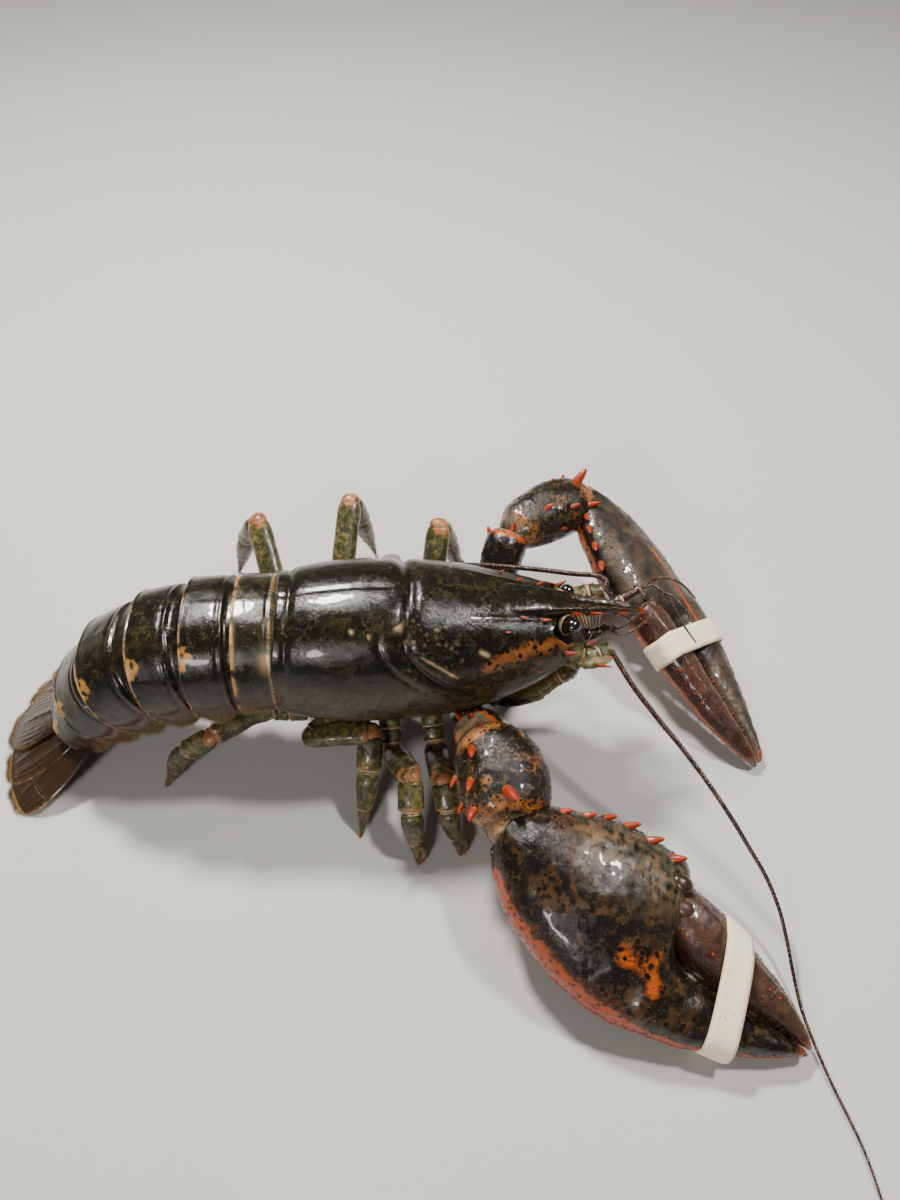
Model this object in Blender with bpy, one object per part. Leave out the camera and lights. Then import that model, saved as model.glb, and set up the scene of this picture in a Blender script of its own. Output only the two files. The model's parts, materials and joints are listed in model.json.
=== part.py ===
"""A life-size American lobster standing with its banded claws folded in front of it and its tail lowered.

The body lies along +X with the head at +X, its left side at +Y and the floor at z = 0. Each sub-part is its
own closed solid. Places are written in millimetres through mm(), and everything built is in metres.
"""

import math

import bmesh
import bpy
from mathutils import Vector

MM = 0.001
GAP = 0.3 * MM
FLOOR_BITE = 0.8 * MM
MODEL_SHIFT = (16.4, 45.8, 0)

# Body sizes in millimetres, along the back from the head to the tail
AXIS_HEIGHT = 60
EYE_PLACE = (60, 8.7, 75.3)
EYE_RADIUS = 3.2
ROSTRUM_TIP = (90, 0, 72)
SOMITE_LENGTHS = (16, 17, 17.5, 20, 17, 17)
SOMITE_SLOPES = (0, 4, 15, 33, 48, 55)
SOMITE_TURNS = (0, 1, 2, 3, 4, 5)
SOMITE_HALF_WIDTHS = (28, 28, 27, 25.5, 23, 19.5)
SOMITE_HEIGHTS = (27.5, 27.5, 26, 24, 21, 16)
SOMITE_BELLIES = (9, 9, 9, 8.5, 8, 7)
PLEURON_DROPS = (10, 16, 17, 16.5, 15, 10)
TAIL_PLATE_LENGTH = 42
LEG_FLATNESS = 0.75
BAND_HALF_WIDTH = 5.5
BAND_WALL = 1.3
BAND_SLACK = 0.5
BAND_SIDES = 24

# Limb joints in millimetres, from the root outwards
CLAW_LEGS = {
    "left": ((17, 12, 30), (29, 30, 29), (43.5, 64, 53), (81, 86.5, 51.5), (142, -30, 4.5)),
    "right": ((17, -12, 29), (38, -20, 12), (21, -35, 46), (31, -70, 38), (131.5, -141, 6)),
}
WALKING_LEGS = {
    "left_2": ((4, 11, 29), (4, 30, 24), (12.5, 68, 56), (17, 77, 35), (24, 90, 0)),
    "left_3": ((-13, 11, 29), (-15, 29, 23), (-12, 60, 38), (-10, 75, 26), (-6, 92, 0)),
    "left_4": ((-30, 11, 29), (-36, 30, 25), (-27, 84, 58), (-24, 93, 36), (-19, 106, 0)),
    "left_5": ((-45, 11, 30), (-54, 27, 25), (-69, 77, 54), (-78, 86, 32), (-88, 97, 0)),
    "right_2": ((5, -11, 29), (7, -25, 17), (9, -43, 26), (11, -54, 17), (15, -63, 0)),
    "right_3": ((-12, -11, 29), (-11, -24, 18), (-4, -43, 29), (-4, -55, 20), (-2, -66, 0)),
    "right_4": ((-30, -11, 29), (-43.5, -19.5, 26), (-19, -23, 31), (-21.5, -39, 17), (-25, -53, 0)),
    "right_5": ((-45, -11, 30), (-66, -11.5, 31), (-83, -20, 29), (-98, -22, 17), (-107, -25, 0)),
}
PINCER_LEGS = ("left_2", "left_3", "right_2", "right_3")

# The claws in shares of their length: (share, outer edge, inner edge, half thickness), edges in millimetres
CRUSHER_PALM = (
    (0.00, -11, 9, 8), (0.05, -18, 13.5, 12), (0.14, -26.5, 18.5, 15.5), (0.28, -33, 25, 18),
    (0.42, -35.5, 26.5, 17), (0.50, -35, 24, 15), (0.55, -34, 2, 13.5), (0.59, -32.5, -5.5, 12),
    (0.70, -28, -6, 10), (0.82, -20.5, -5.5, 8), (0.92, -12.5, -4.5, 6), (0.98, -7, -4, 3.5),
    (1.00, -5.5, -4.2, 1.2),
)
CRUSHER_THUMB = (
    (0.46, 4, 13, 6), (0.50, 1, 18.5, 11), (0.56, -3, 20, 13), (0.66, -4.8, 17.5, 12),
    (0.78, -4.6, 13, 9.5), (0.89, -4, 7.5, 7.5), (0.97, -3.5, 2, 4), (1.00, -3, -1, 1.3),
)
CUTTER_PALM = (
    (0.00, -7, 7, 6.5), (0.05, -11.5, 11, 8.5), (0.13, -17, 16, 10.5), (0.25, -21, 19.5, 12),
    (0.36, -22.5, 20, 11.5), (0.42, -24, 18, 10.5), (0.46, -24.6, 7, 9.8), (0.50, -24.8, -1, 9),
    (0.63, -23, -1.5, 8), (0.78, -17.5, -2, 6.2),
    (0.90, -10.5, -2, 4.4), (0.98, -5, -2, 2.4), (1.00, -3.5, -2, 0.8),
)
CUTTER_THUMB = (
    (0.38, 5, 14, 4), (0.42, 3, 17, 7), (0.48, 1.5, 18, 8.5), (0.60, 1, 16.5, 8), (0.74, 0.5, 14, 6.8),
    (0.87, 0, 9.5, 5), (0.97, -1, 4, 2.6), (1.00, -1.5, 1, 0.8),
)
# Spines of the claw legs: (share of the segment, upwards, sideways)
ARM_SPINES = ((0.78, 0.9, 0.5), (0.90, 0.2, 1.0), (0.55, 1.0, 0.2))
ELBOW_SPINES = (
    (0.35, 0.9, 0.4), (0.62, 0.8, 0.75), (0.62, 0.8, -0.6), (0.86, 0.6, 0.9), (0.86, 0.95, -0.1),
    (0.86, 0.4, -1.0),
)
FINISHES = {
    "shell": ((0.020, 0.022, 0.014), 0.25),
    "tail_shell": ((0.024, 0.026, 0.016), 0.25),
    "claw_shell": ((0.045, 0.028, 0.017), 0.30),
    "leg_shell": ((0.105, 0.085, 0.032), 0.35),
    "feeler": ((0.075, 0.020, 0.012), 0.35),
    "eye": ((0.006, 0.004, 0.004), 0.10),
    "underside": ((0.120, 0.085, 0.050), 0.45),
    "rubber_band": ((0.820, 0.740, 0.520), 0.55),
}


def mm(x, y, z):
    """A place given in millimetres."""
    return Vector((x, y, z)) * MM


def through(points):
    """A smooth curve through (place, value) pairs, as a function of place; values are numbers or vectors."""
    places = [point[0] for point in points]
    values = [point[1] for point in points]
    last = len(points) - 1

    def slope(i):
        before, after = max(i - 1, 0), min(i + 1, last)
        return (values[after] - values[before]) / (places[after] - places[before])

    def value(place):
        place = min(max(place, places[0]), places[last])
        i = 0
        while i < last - 1 and place > places[i + 1]:
            i += 1
        span = places[i + 1] - places[i]
        t = (place - places[i]) / span
        start = values[i] * (2 * t**3 - 3 * t**2 + 1) + slope(i) * span * (t**3 - 2 * t**2 + t)
        return start + values[i + 1] * (3 * t**2 - 2 * t**3) + slope(i + 1) * span * (t**3 - t**2)

    return value


def scaled(points, factor):
    """(place, value) pairs with their values multiplied."""
    return [(place, value * factor) for place, value in points]


def path_through(stops):
    """A smooth path through places, run from 0 to 1 by the distance along it."""
    walked = [0.0]
    for before, after in zip(stops, stops[1:]):
        walked.append(walked[-1] + (after - before).length)
    return through([(far / walked[-1], stop) for far, stop in zip(walked, stops)])


def finish_of(name):
    """The named material, made once."""
    made = bpy.data.materials.get(name)
    if made:
        return made
    colour, roughness = FINISHES[name]
    made = bpy.data.materials.new(name)
    made.use_nodes = True
    shader = made.node_tree.nodes["Principled BSDF"]
    shader.inputs["Base Color"].default_value = (*colour, 1)
    shader.inputs["Roughness"].default_value = roughness
    shader.inputs["Metallic"].default_value = 0
    return made


def solid(name, points, faces, finish):
    """An object of one closed mesh whose faces point outwards."""
    mesh = bpy.data.meshes.new(name)
    mesh.from_pydata(points, [], faces)
    shape = bmesh.new()
    shape.from_mesh(mesh)
    bmesh.ops.recalc_face_normals(shape, faces=shape.faces)
    shape.to_mesh(mesh)
    shape.free()
    mesh.materials.append(finish_of(finish))
    made = bpy.data.objects.new(name, mesh)
    bpy.context.scene.collection.objects.link(made)
    return made


def loft(name, rings, finish, centres=None):
    """A skin over rings of points. Each end is one flat face, or a fan from the centre given for it."""
    sides = len(rings[0])
    points = [point for ring in rings for point in ring]
    faces = []
    for r in range(len(rings) - 1):
        for s in range(sides):
            t = (s + 1) % sides
            faces.append((r * sides + s, r * sides + t, (r + 1) * sides + t, (r + 1) * sides + s))
    last = (len(rings) - 1) * sides
    if centres is None:
        faces.append(tuple(range(sides)))
        faces.append(tuple(last + s for s in range(sides)))
    else:
        first_centre = len(points)
        points.extend(centres)
        for s in range(sides):
            t = (s + 1) % sides
            faces.append((s, t, first_centre))
            faces.append((last + s, last + t, first_centre + 1))
    return solid(name, points, faces, finish)


def rounded(angle, power):
    """Cosine and sine of an angle on a circle whose corners are squared by a power above 2."""
    cosine, sine = math.cos(angle), math.sin(angle)
    return (
        math.copysign(abs(cosine) ** (2 / power), cosine),
        math.copysign(abs(sine) ** (2 / power), sine),
    )


def section(centre, side, rise, half_width, half_height, sides, power=2.0):
    """A rounded ring of points round a centre."""
    ring = []
    for i in range(sides):
        across, up = rounded(2 * math.pi * i / sides, power)
        ring.append(centre + side * (across * half_width) + rise * (up * half_height))
    return ring


def tube(name, path, width, height, shares, sides, up, finish, power=2.0):
    """A closed skin along a path, unturned by its bends. width and height are half sizes in mm."""
    rings = []
    side = None
    for share in shares:
        forward = (path(min(share + 0.01, 1)) - path(max(share - 0.01, 0))).normalized()
        hint = forward.cross(up) if side is None else side - forward * side.dot(forward)
        side = hint.normalized()
        rise = side.cross(forward)
        rings.append(section(path(share), side, rise, width(share) * MM, height(share) * MM, sides, power))
    return loft(name, rings, finish)


def steps(count, start=0.0, end=1.0):
    """Evenly spaced shares from start to end."""
    return [start + (end - start) * i / count for i in range(count + 1)]


def thorn(place, direction, length, radius, finish):
    """A spine on a five-sided root that is sunk below its place."""
    direction = direction.normalized()
    side = direction.orthogonal().normalized()
    rise = direction.cross(side)
    root = section(place - direction * (radius * 1.3), side, rise, radius, radius, 5)
    tip = section(place + direction * length, side, rise, radius * 0.2, radius * 0.2, 5)
    return loft("thorn", [root, tip], finish)


def shape_of(body):
    """A bmesh of an object as its modifiers leave it."""
    graph = bpy.context.evaluated_depsgraph_get()
    shape = bmesh.new()
    shape.from_object(body, graph)
    return shape


def keep_largest(body, shape):
    """Gives the body its largest closed surface, without scraps or sealed hollows."""
    bmesh.ops.remove_doubles(shape, verts=shape.verts, dist=0.002 * MM)
    islands, seen = [], set()
    for vert in shape.verts:
        if vert in seen:
            continue
        island, waiting = [], [vert]
        seen.add(vert)
        while waiting:
            here = waiting.pop()
            island.append(here)
            for edge in here.link_edges:
                there = edge.other_vert(here)
                if there not in seen:
                    seen.add(there)
                    waiting.append(there)
        islands.append(island)
    islands.sort(key=lambda island: -len({face for vert in island for face in vert.link_faces}))
    islands.sort(key=lambda island: -enclosed(island))
    for island in islands[1:]:
        bmesh.ops.delete(shape, geom=island, context="VERTS")
    bmesh.ops.triangulate(shape, faces=shape.faces)
    body.modifiers.clear()
    shape.to_mesh(body.data)
    shape.free()
    body.data.update()


def enclosed(island):
    """The volume inside a closed group of vertices' faces."""
    volume = 0.0
    for face in {face for vert in island for face in vert.link_faces}:
        corners = [corner.co for corner in face.verts]
        for second, third in zip(corners[1:], corners[2:]):
            volume += corners[0].dot(second.cross(third)) / 6
    return volume


def fuse(body, pieces):
    """Joins the pieces to the body as one closed surface and removes them."""
    if not pieces:
        return body
    helpers = bpy.data.collections.new(body.name + "_pieces")
    bpy.context.scene.collection.children.link(helpers)
    for piece in pieces:
        bpy.context.scene.collection.objects.unlink(piece)
        helpers.objects.link(piece)
    join = body.modifiers.new("join", "BOOLEAN")
    join.operation = "UNION"
    join.operand_type = "COLLECTION"
    join.collection = helpers
    join.solver = "EXACT"
    bpy.context.view_layer.update()
    keep_largest(body, shape_of(body))
    for piece in pieces:
        bpy.data.objects.remove(piece)
    bpy.data.collections.remove(helpers)
    return body


def fattened(body, by):
    """A copy of a body, grown outwards."""
    mesh = body.data.copy()
    grown = [vert.co + vert.normal * by for vert in mesh.vertices]
    for vert, place in zip(mesh.vertices, grown):
        vert.co = place
    mesh.update()
    made = bpy.data.objects.new(body.name + "_grown", mesh)
    bpy.context.scene.collection.objects.link(made)
    return made


def cut_clear(body, others):
    """Cuts the body back from its neighbours, so that it meets each face to face across a small gap."""
    for other in others:
        cutter = fattened(other, GAP)
        cut = body.modifiers.new("cut", "BOOLEAN")
        cut.operation = "DIFFERENCE"
        cut.object = cutter
        cut.solver = "EXACT"
        bpy.context.view_layer.update()
        keep_largest(body, shape_of(body))
        bpy.data.objects.remove(cutter)
    return body


def stand_on_floor(body):
    """Cuts off what reaches below the floor, which leaves small flats at its level."""
    shape = bmesh.new()
    shape.from_mesh(body.data)
    everything = shape.verts[:] + shape.edges[:] + shape.faces[:]
    down = (0, 0, -1)
    cut = bmesh.ops.bisect_plane(shape, geom=everything, plane_co=(0, 0, 0), plane_no=down, clear_outer=True)
    rim = [piece for piece in cut["geom_cut"] if isinstance(piece, bmesh.types.BMEdge)]
    if rim:
        bmesh.ops.holes_fill(shape, edges=rim)
    bmesh.ops.recalc_face_normals(shape, faces=shape.faces)
    keep_largest(body, shape)
    return body


# Carapace
HALF_WIDTH_AT = through(
    [(-58, 25.5), (-48, 28), (-30, 31), (-5, 31), (20, 28.5), (40, 24), (54, 19), (64, 14)]
)
TOP_AT = through(
    [(-58, 86), (-48, 89.5), (-30, 92), (-8, 92.5), (15, 89.5), (35, 84.5), (54, 79), (64, 76.5)]
)
BOTTOM_AT = through([(-58, 41), (-45, 35.5), (-20, 33), (5, 33), (25, 37), (40, 44), (54, 54), (64, 59)])
MIDDLE_AT = through([(-58, 62), (0, AXIS_HEIGHT), (40, 62), (64, 67)])
REAR_EDGE_AT = through([(0, -50), (60, -52.5), (95, -56), (130, -56), (158, -49), (180, -44)])
FRONT_EDGE_AT = through(
    [(0, 57), (22, 54), (38, 52), (58, 57), (74, 60), (95, 54), (125, 40), (155, 28), (180, 24)]
)
NECK_GROOVE_AT = through([(0, -1), (25, -2), (45, -4), (62, 1), (82, 13), (100, 27)])
GROOVE_DEPTH = 1.5
GROOVE_HALF_WIDTH = 3.0

# Rostrum teeth: (place along, aside, height, size)
# Brow spines: (place along, angle from the middle, size)
ROSTRUM_TEETH = ((61.5, 4.9, 78.3, 1), (69, 3.9, 77, 1.1), (80, 2.5, 74.8, 1))
BROW_SPINES = ((48, 22, 0.9), (57, 74, 1.2), (40, 20, 0.7))


def carapace_point(x, angle):
    """A place on the carapace, at an angle in degrees from the middle of the back."""
    turn = abs(angle)
    up, across = rounded(math.radians(angle), 2.2)
    middle = MIDDLE_AT(x)
    reach = TOP_AT(x) - middle if up > 0 else middle - BOTTOM_AT(x)
    sunk = 0.0
    if turn < 100:
        near = (x - NECK_GROOVE_AT(turn)) / GROOVE_HALF_WIDTH
        sunk = GROOVE_DEPTH * math.exp(-near * near)
    rim = (x - REAR_EDGE_AT(turn) - 4.5) / 1.6
    sunk += 0.9 * math.exp(-rim * rim)
    shrink = 1 - sunk / 30
    return mm(x, across * HALF_WIDTH_AT(x) * shrink, middle + up * reach * shrink)


def build_carapace():
    """The carapace, its rostrum and their spines."""
    sides = 28
    shares = [0, 0.03, 0.06, 0.1, 0.16, 0.24, 0.32, 0.39, 0.43, 0.455, 0.48, 0.51, 0.55, 0.61, 0.68]
    shares += [0.75, 0.82, 0.88, 0.94, 1]
    rings = []
    for share in shares:
        ring = []
        for i in range(sides):
            angle = 360 * i / sides - 180
            turn = abs(angle)
            x = REAR_EDGE_AT(turn) * (1 - share) + FRONT_EDGE_AT(turn) * share
            ring.append(carapace_point(x, angle))
        rings.append(ring)
    body = loft("carapace", rings, "shell", (mm(-46, 0, 60), mm(38, 0, 62)))
    return fuse(body, [rostrum()] + carapace_spines())


def rostrum():
    """The pointed beak between the eyes, its root sunk in the carapace."""
    path = path_through([mm(28, 0, 82.5), mm(44, 0, 80.6), mm(60, 0, 78), mm(75, 0, 75.6), mm(*ROSTRUM_TIP)])
    width = through([(0, 9), (0.3, 7.2), (0.5, 5.0), (0.62, 4.0), (0.75, 3.0), (0.88, 2.0), (1, 0.5)])
    height = through([(0, 3), (0.35, 3.2), (0.6, 2.4), (0.85, 1.6), (1, 0.5)])
    return tube("rostrum", path, width, height, steps(9), 10, Vector((0, 0, 1)), "shell", 2.6)


def carapace_spines():
    """Teeth along the rostrum and spines on the brow and cheeks."""
    spines = []
    for hand in (-1, 1):
        for x, out, z, size in ROSTRUM_TEETH:
            lean = Vector((1, 0.42 * hand, 0.30))
            spines.append(thorn(mm(x, out * hand, z), lean, 4.2 * size * MM, 1.15 * size * MM, "shell"))
        for x, angle, size in BROW_SPINES:
            root = carapace_point(x, angle * hand)
            lean = Vector((1, 0.25 * hand, 0.45))
            spines.append(thorn(root, lean, 3.4 * size * MM, 1.2 * size * MM, "shell"))
    return spines


# Thorax and head
def build_thorax(carapace):
    """The underside between the legs, which carries them."""
    path = path_through([mm(-47, 0, 34), mm(-10, 0, 31), mm(22, 0, 32), mm(36, 0, 37)])
    width = through([(0, 9), (0.1, 14.5), (0.7, 14.5), (0.9, 10), (1, 6)])
    height = through([(0, 8), (1, 8)])
    body = tube("thorax", path, width, height, steps(7), 10, Vector((0, 0, 1)), "underside", 3.2)
    return cut_clear(body, [carapace])


def build_head(carapace):
    """The front of the head under the rostrum, which carries the eyes and feelers."""
    path = path_through([mm(40, 0, 60), mm(52, 0, 61.5), mm(62, 0, 63.5), mm(66, 0, 64.5)])
    width = through([(0, 14), (0.5, 13.5), (0.8, 12), (1, 8.5)])
    height = through([(0, 12), (0.5, 11), (0.8, 9.2), (1, 6)])
    body = tube("head", path, width, height, steps(6), 14, Vector((0, 0, 1)), "underside", 2.5)
    return cut_clear(body, [carapace])


def build_eyes(carapace, head):
    """Two stalks, each with its round eye."""
    made = []
    x, y, z = EYE_PLACE
    for hand, name in ((1, "left"), (-1, "right")):
        centre = mm(x, y * hand, z)
        path = path_through([mm(x - 4, 4 * hand, z - 5), centre])
        size = through([(0, 2.0), (0.6, 2.5), (1, 2.7)])
        stalk = tube("eyestalk_" + name, path, size, size, steps(3), 9, Vector((0, 0, 1)), "underside")
        cut_clear(stalk, [carapace, head])
        ball = ball_at("eye_" + name, centre, EYE_RADIUS * MM, "eye")
        cut_clear(ball, [carapace, head, stalk])
        made += [stalk, ball]
    return made


def ball_at(name, centre, radius, finish):
    """A round ball."""
    shape = bmesh.new()
    bmesh.ops.create_icosphere(shape, subdivisions=2, radius=radius)
    bmesh.ops.translate(shape, verts=shape.verts, vec=centre)
    mesh = bpy.data.meshes.new(name)
    shape.to_mesh(mesh)
    shape.free()
    mesh.materials.append(finish_of(finish))
    made = bpy.data.objects.new(name, mesh)
    bpy.context.scene.collection.objects.link(made)
    return made


# Feelers
ANTENNA_ROOTS = {"left": (57, 10.5, 62.5), "right": (57, -10.5, 62.5)}
ANTENNA_ENDS = {"left": (77, 17, 65.5), "right": (75.5, -11, 63.2)}
WHIPS = {
    "left": (
        (77, 17, 65.5), (78.5, 21.5, 66.5), (75, 24.5, 66.5), (66, 26, 66.5), (52, 28.6, 67), (28, 32.5, 67),
        (-2, 36.5, 64.5), (-35, 41, 59), (-68, 46, 48), (-102, 51, 34), (-132, 56, 18), (-155, 60, 4),
    ),
    "right": (
        (75.5, -11.5, 63.2), (82.5, -24, 57), (91.5, -37.5, 51.5), (99, -47.5, 47), (107, -60, 42),
        (114, -71, 36), (120.3, -80.5, 29), (125.5, -89, 23), (129, -98.5, 17), (130.8, -107.5, 11),
        (131.5, -118, 6), (132, -130, 3),
        (135, -150, 1.6), (140, -174, 1.2), (141, -198, 1.1),
    ),
}
ANTENNULES = {
    "left": (
        ((62, 5, 67), (72, 7, 65), (80, 10, 65.5), (91, 15, 68)),
        ((91, 15, 68), (96, 15, 70), (101, 9, 69), (105, 0, 65), (110, -8, 61)),
        ((91, 15, 68), (96, 17, 71), (101.5, 15.5, 73.5), (106.5, 11, 74), (110.5, 5, 72.5)),
    ),
    "right": (
        ((62, -5, 67), (69, -4, 64), (76, 0, 63)),
        ((76, 0, 63), (81, 0.5, 62), (87, 3, 65), (92, 6, 70), (99, 7, 74), (104, 0, 74), (107, -6, 71)),
        ((76, 0, 63), (81, -2.5, 61.5), (87, -1, 62.5), (92.5, 2, 66.5)),
    ),
}


def feeler(name, stops, thick, thin, rings, sides=6):
    """A tapering feeler along a smooth path."""
    path = path_through([mm(*stop) for stop in stops])
    size = through([(0, thick), (1, thin)])
    return tube(name, path, size, size, steps(rings), sides, Vector((0, 0.3, 1)), "feeler")


def build_feelers(carapace, head):
    """The antennae with their jointed stems, and the short forked antennules between them."""
    made = []
    for name in ("left", "right"):
        hand = 1 if name == "left" else -1
        root, end = mm(*ANTENNA_ROOTS[name]), mm(*ANTENNA_ENDS[name])
        bend = (root + end) / 2 + mm(1, 2.5 * hand, -1)
        size = [
            (0, 5.2), (0.35, 5.4), (0.42, 4.4), (0.5, 4.9), (0.7, 4.4), (0.76, 3.6), (0.84, 3.7), (1, 2.8),
        ]
        stem = tube(
            "antenna_stem_" + name,
            path_through([root, bend, end]),
            through(size),
            through(scaled(size, 0.85)),
            [0, 0.18, 0.35, 0.42, 0.5, 0.7, 0.76, 0.84, 1],
            8,
            Vector((0, 0, 1)),
            "underside",
        )
        scale_root = root + mm(5, 4.5 * hand, 1)
        scale = tube(
            "scale",
            path_through([scale_root, scale_root + mm(6, 2.5 * hand, 1), scale_root + mm(13, 2 * hand, 2.5)]),
            through([(0, 3.2), (1, 0.4)]),
            through([(0, 1.6), (1, 0.4)]),
            steps(4),
            6,
            Vector((0, 0, 1)),
            "underside",
        )
        fuse(stem, [scale])
        cut_clear(stem, [carapace, head])
        stops = WHIPS[name]
        split = len(stops) // 2
        near = feeler("antenna_near_" + name, stops[: split + 1], 1.2, 0.85, 14)
        far = feeler("antenna_far_" + name, stops[split:], 0.85, 0.4, 12)
        cut_clear(near, [stem, carapace])
        cut_clear(far, [near])
        stem_stops, inner, outer = ANTENNULES[name]
        short = feeler("antennule_" + name, stem_stops, 2.5, 1.8, 4, 7)
        fuse(short, [feeler("inner", inner, 0.9, 0.4, 7, 5), feeler("outer", outer, 0.9, 0.4, 6, 5)])
        cut_clear(short, [carapace, head])
        made += [stem, near, stand_on_floor(far), short]
    return made


# Mouth limbs
def build_mouth_limbs(carapace, thorax, head):
    """The outermost pair of mouth limbs, folded under the head."""
    made = []
    for hand, name in ((1, "left"), (-1, "right")):
        stops = [(25, 6, 31), (36, 9, 31), (48, 11, 37), (57, 10, 45), (62, 8, 47), (61, 6, 39), (55, 5, 34)]
        path = path_through([mm(x, y * hand, z) for x, y, z in stops])
        size = [(0, 3.4), (0.2, 4.4), (0.45, 4.2), (0.52, 3.2), (0.6, 3.4), (0.8, 2.6), (1, 1.0)]
        width, height = through(scaled(size, 0.8)), through(size)
        limb = tube("mouth_limb_" + name, path, width, height, steps(12), 8, Vector((0, 1, 0)), "underside")
        made.append(cut_clear(limb, [carapace, thorax, head]))
    cut_clear(made[1], [made[0]])
    return made


# Abdomen
def somite_frames():
    """Each somite's front place, with its backward, left and upward directions, and the end of the last."""
    place = mm(-51, 0, AXIS_HEIGHT)
    frames = []
    for length, slope, turn in zip(SOMITE_LENGTHS, SOMITE_SLOPES, SOMITE_TURNS):
        down, aside = math.radians(slope), math.radians(turn)
        back = Vector((-math.cos(down) * math.cos(aside), math.cos(down) * math.sin(aside), -math.sin(down)))
        left = back.cross(Vector((0, 0, 1))).normalized()
        frames.append((place, back, left, left.cross(back)))
        place = place + back * (length * MM)
    frames.append((place, back, left, left.cross(back)))
    return frames


def somite_ring(centre, left, rise, half_width, height, belly, drop):
    """An arch over the back that ends in a side plate on each side, with the belly between them."""
    half = []
    for degrees in (22, 44, 66, 90):
        up, across = rounded(math.radians(degrees), 2.25)
        half.append((across * half_width, up * height))
    half.append((half_width * 0.93, -drop * 0.55))
    half.append((half_width * 0.80, -drop))
    half.append((half_width * 0.80 - 2.6, -drop + 0.6))
    half.append((half_width * 0.72, -belly))
    outline = [(0, height)] + half + [(0, -belly - 1.5)] + [(-across, up) for across, up in reversed(half)]
    return [centre + left * (across * MM) + rise * (up * MM) for across, up in outline]


def build_somite(index, frames, before):
    """One ring of the abdomen with its side plates and, on the middle ones, a pair of swimming limbs."""
    place, back, left, rise = frames[index]
    length = SOMITE_LENGTHS[index]
    half_width, height = SOMITE_HALF_WIDTHS[index], SOMITE_HEIGHTS[index]
    belly, full_drop = SOMITE_BELLIES[index], PLEURON_DROPS[index]
    lobe = through([(-9, 0.02), (0.0, 0.25), (0.35, 0.85), (0.62, 1.0), (0.85, 0.72), (1, 0.35)])
    swell = through([(-9, 0.93), (-1, 0.93), (0.0, 0.93), (0.22, 0.99), (0.7, 1.0), (1, 1.0)])
    rings = []
    for share in (-7 / length, 0.0, 0.22, 0.5, 0.76, 1.0):
        drop = belly + 0.6 + (full_drop - belly) * lobe(share)
        scale = swell(share)
        centre = place + back * (share * length * MM)
        rings.append(somite_ring(centre, left, rise, half_width * scale, height * scale, belly, drop))
    body = loft(f"somite_{index + 1}", rings, "tail_shell")
    if 1 <= index <= 4:
        fuse(body, [paddle(place, back, left, rise, index, hand) for hand in (-1, 1)])
    return cut_clear(body, before)


def paddle(place, back, left, rise, index, hand):
    """A swimming limb under a somite."""
    root = place + back * (SOMITE_LENGTHS[index] * 0.5 * MM) - rise * ((SOMITE_BELLIES[index] - 2) * MM)
    root += left * (9 * hand * MM)
    end = root + back * (7 * MM) - rise * (13 * MM) + left * (2 * hand * MM)
    width = through([(0, 2), (0.4, 3), (0.75, 4), (1, 1.6)])
    height = through([(0, 0.8), (1, 0.8)])
    return tube("paddle", path_through([root, end]), width, height, steps(3), 6, back, "tail_shell")


# Tail fan
def tail_plate(name, root, back, left, rise, half_width, ridge):
    """A thin rounded plate of the fan with a raised middle."""
    path = path_through([root, root + back * (TAIL_PLATE_LENGTH * MM)])
    width = [(0, 0.42), (0.15, 0.66), (0.45, 0.96), (0.75, 1.0), (0.92, 0.82), (1, 0.5)]
    height = [(0, 2.6), (0.3, 2.0), (0.7, 1.3), (1, 0.5)]
    width, height = through(scaled(width, half_width)), through(scaled(height, ridge))
    return tube(name, path, width, height, [0, 0.1, 0.25, 0.45, 0.65, 0.82, 0.93, 1], 12, rise, "tail_shell")


# Tail plates: (name, turn in degrees, half width, ridge's share, place aside and lift in millimetres)
TAIL_PLATES = (
    ("telson", 0, 13, 1.25, 0, 6),
    ("tail_fan_inner_left", 17, 11, 1.0, 9, 1),
    ("tail_fan_inner_right", -17, 11, 1.0, -9, 1),
    ("tail_fan_outer_left", 36, 11.5, 1.0, 13, -2.5),
    ("tail_fan_outer_right", -36, 11.5, 1.0, -13, -2.5),
)


def build_tail_fan(frames, last_somite):
    """The telson and the two pairs of plates beside it, spread with their ends on the floor."""
    place, back, left, rise = frames[-1]
    up = Vector((0, 0, 1))
    level_back = Vector((back.x, back.y, 0)).normalized()
    made = []
    for name, turn, half_width, ridge, aside, lift in TAIL_PLATES:
        root = place + left * (aside * MM) + rise * (lift * MM) - back * (3 * MM)
        angle = math.radians(turn)
        down = math.asin((root.z / MM - 0.2) / TAIL_PLATE_LENGTH)
        level = level_back * math.cos(angle) + left * math.sin(angle)
        along = level * math.cos(down) - up * math.sin(down)
        side = along.cross(up).normalized()
        plate = tail_plate(name, root, along, side, side.cross(along), half_width, ridge)
        cut_clear(plate, [last_somite] + made)
        made.append(stand_on_floor(plate))
    return made


# Claw legs
def limb_segment(name, start, end, facing, sizes, finish, sides=10, rings=8, bow=0.0, sway=0.0):
    """A limb's segment between two joints. sizes lists (share, half width, half depth) in millimetres."""
    along = (end - start).normalized()
    side = along.cross(facing).normalized()
    rise = side.cross(along)
    path = path_through([start, (start + end) / 2 + rise * (bow * MM) + side * (sway * MM), end])
    width = through([(share, wide) for share, wide, _ in sizes])
    depth = through([(share, deep) for share, _, deep in sizes])
    return tube(name, path, width, depth, steps(rings), sides, rise, finish, 2.2)


def claw_frame(wrist, tip, inward):
    """A claw's directions: along it, from its outer edge to its thumb edge, and out of its upper face."""
    along = (tip - wrist).normalized()
    inner = (inward - along * inward.dot(along)).normalized()
    face = along.cross(inner)
    return along, inner, face if face.z > 0 else -face


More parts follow.
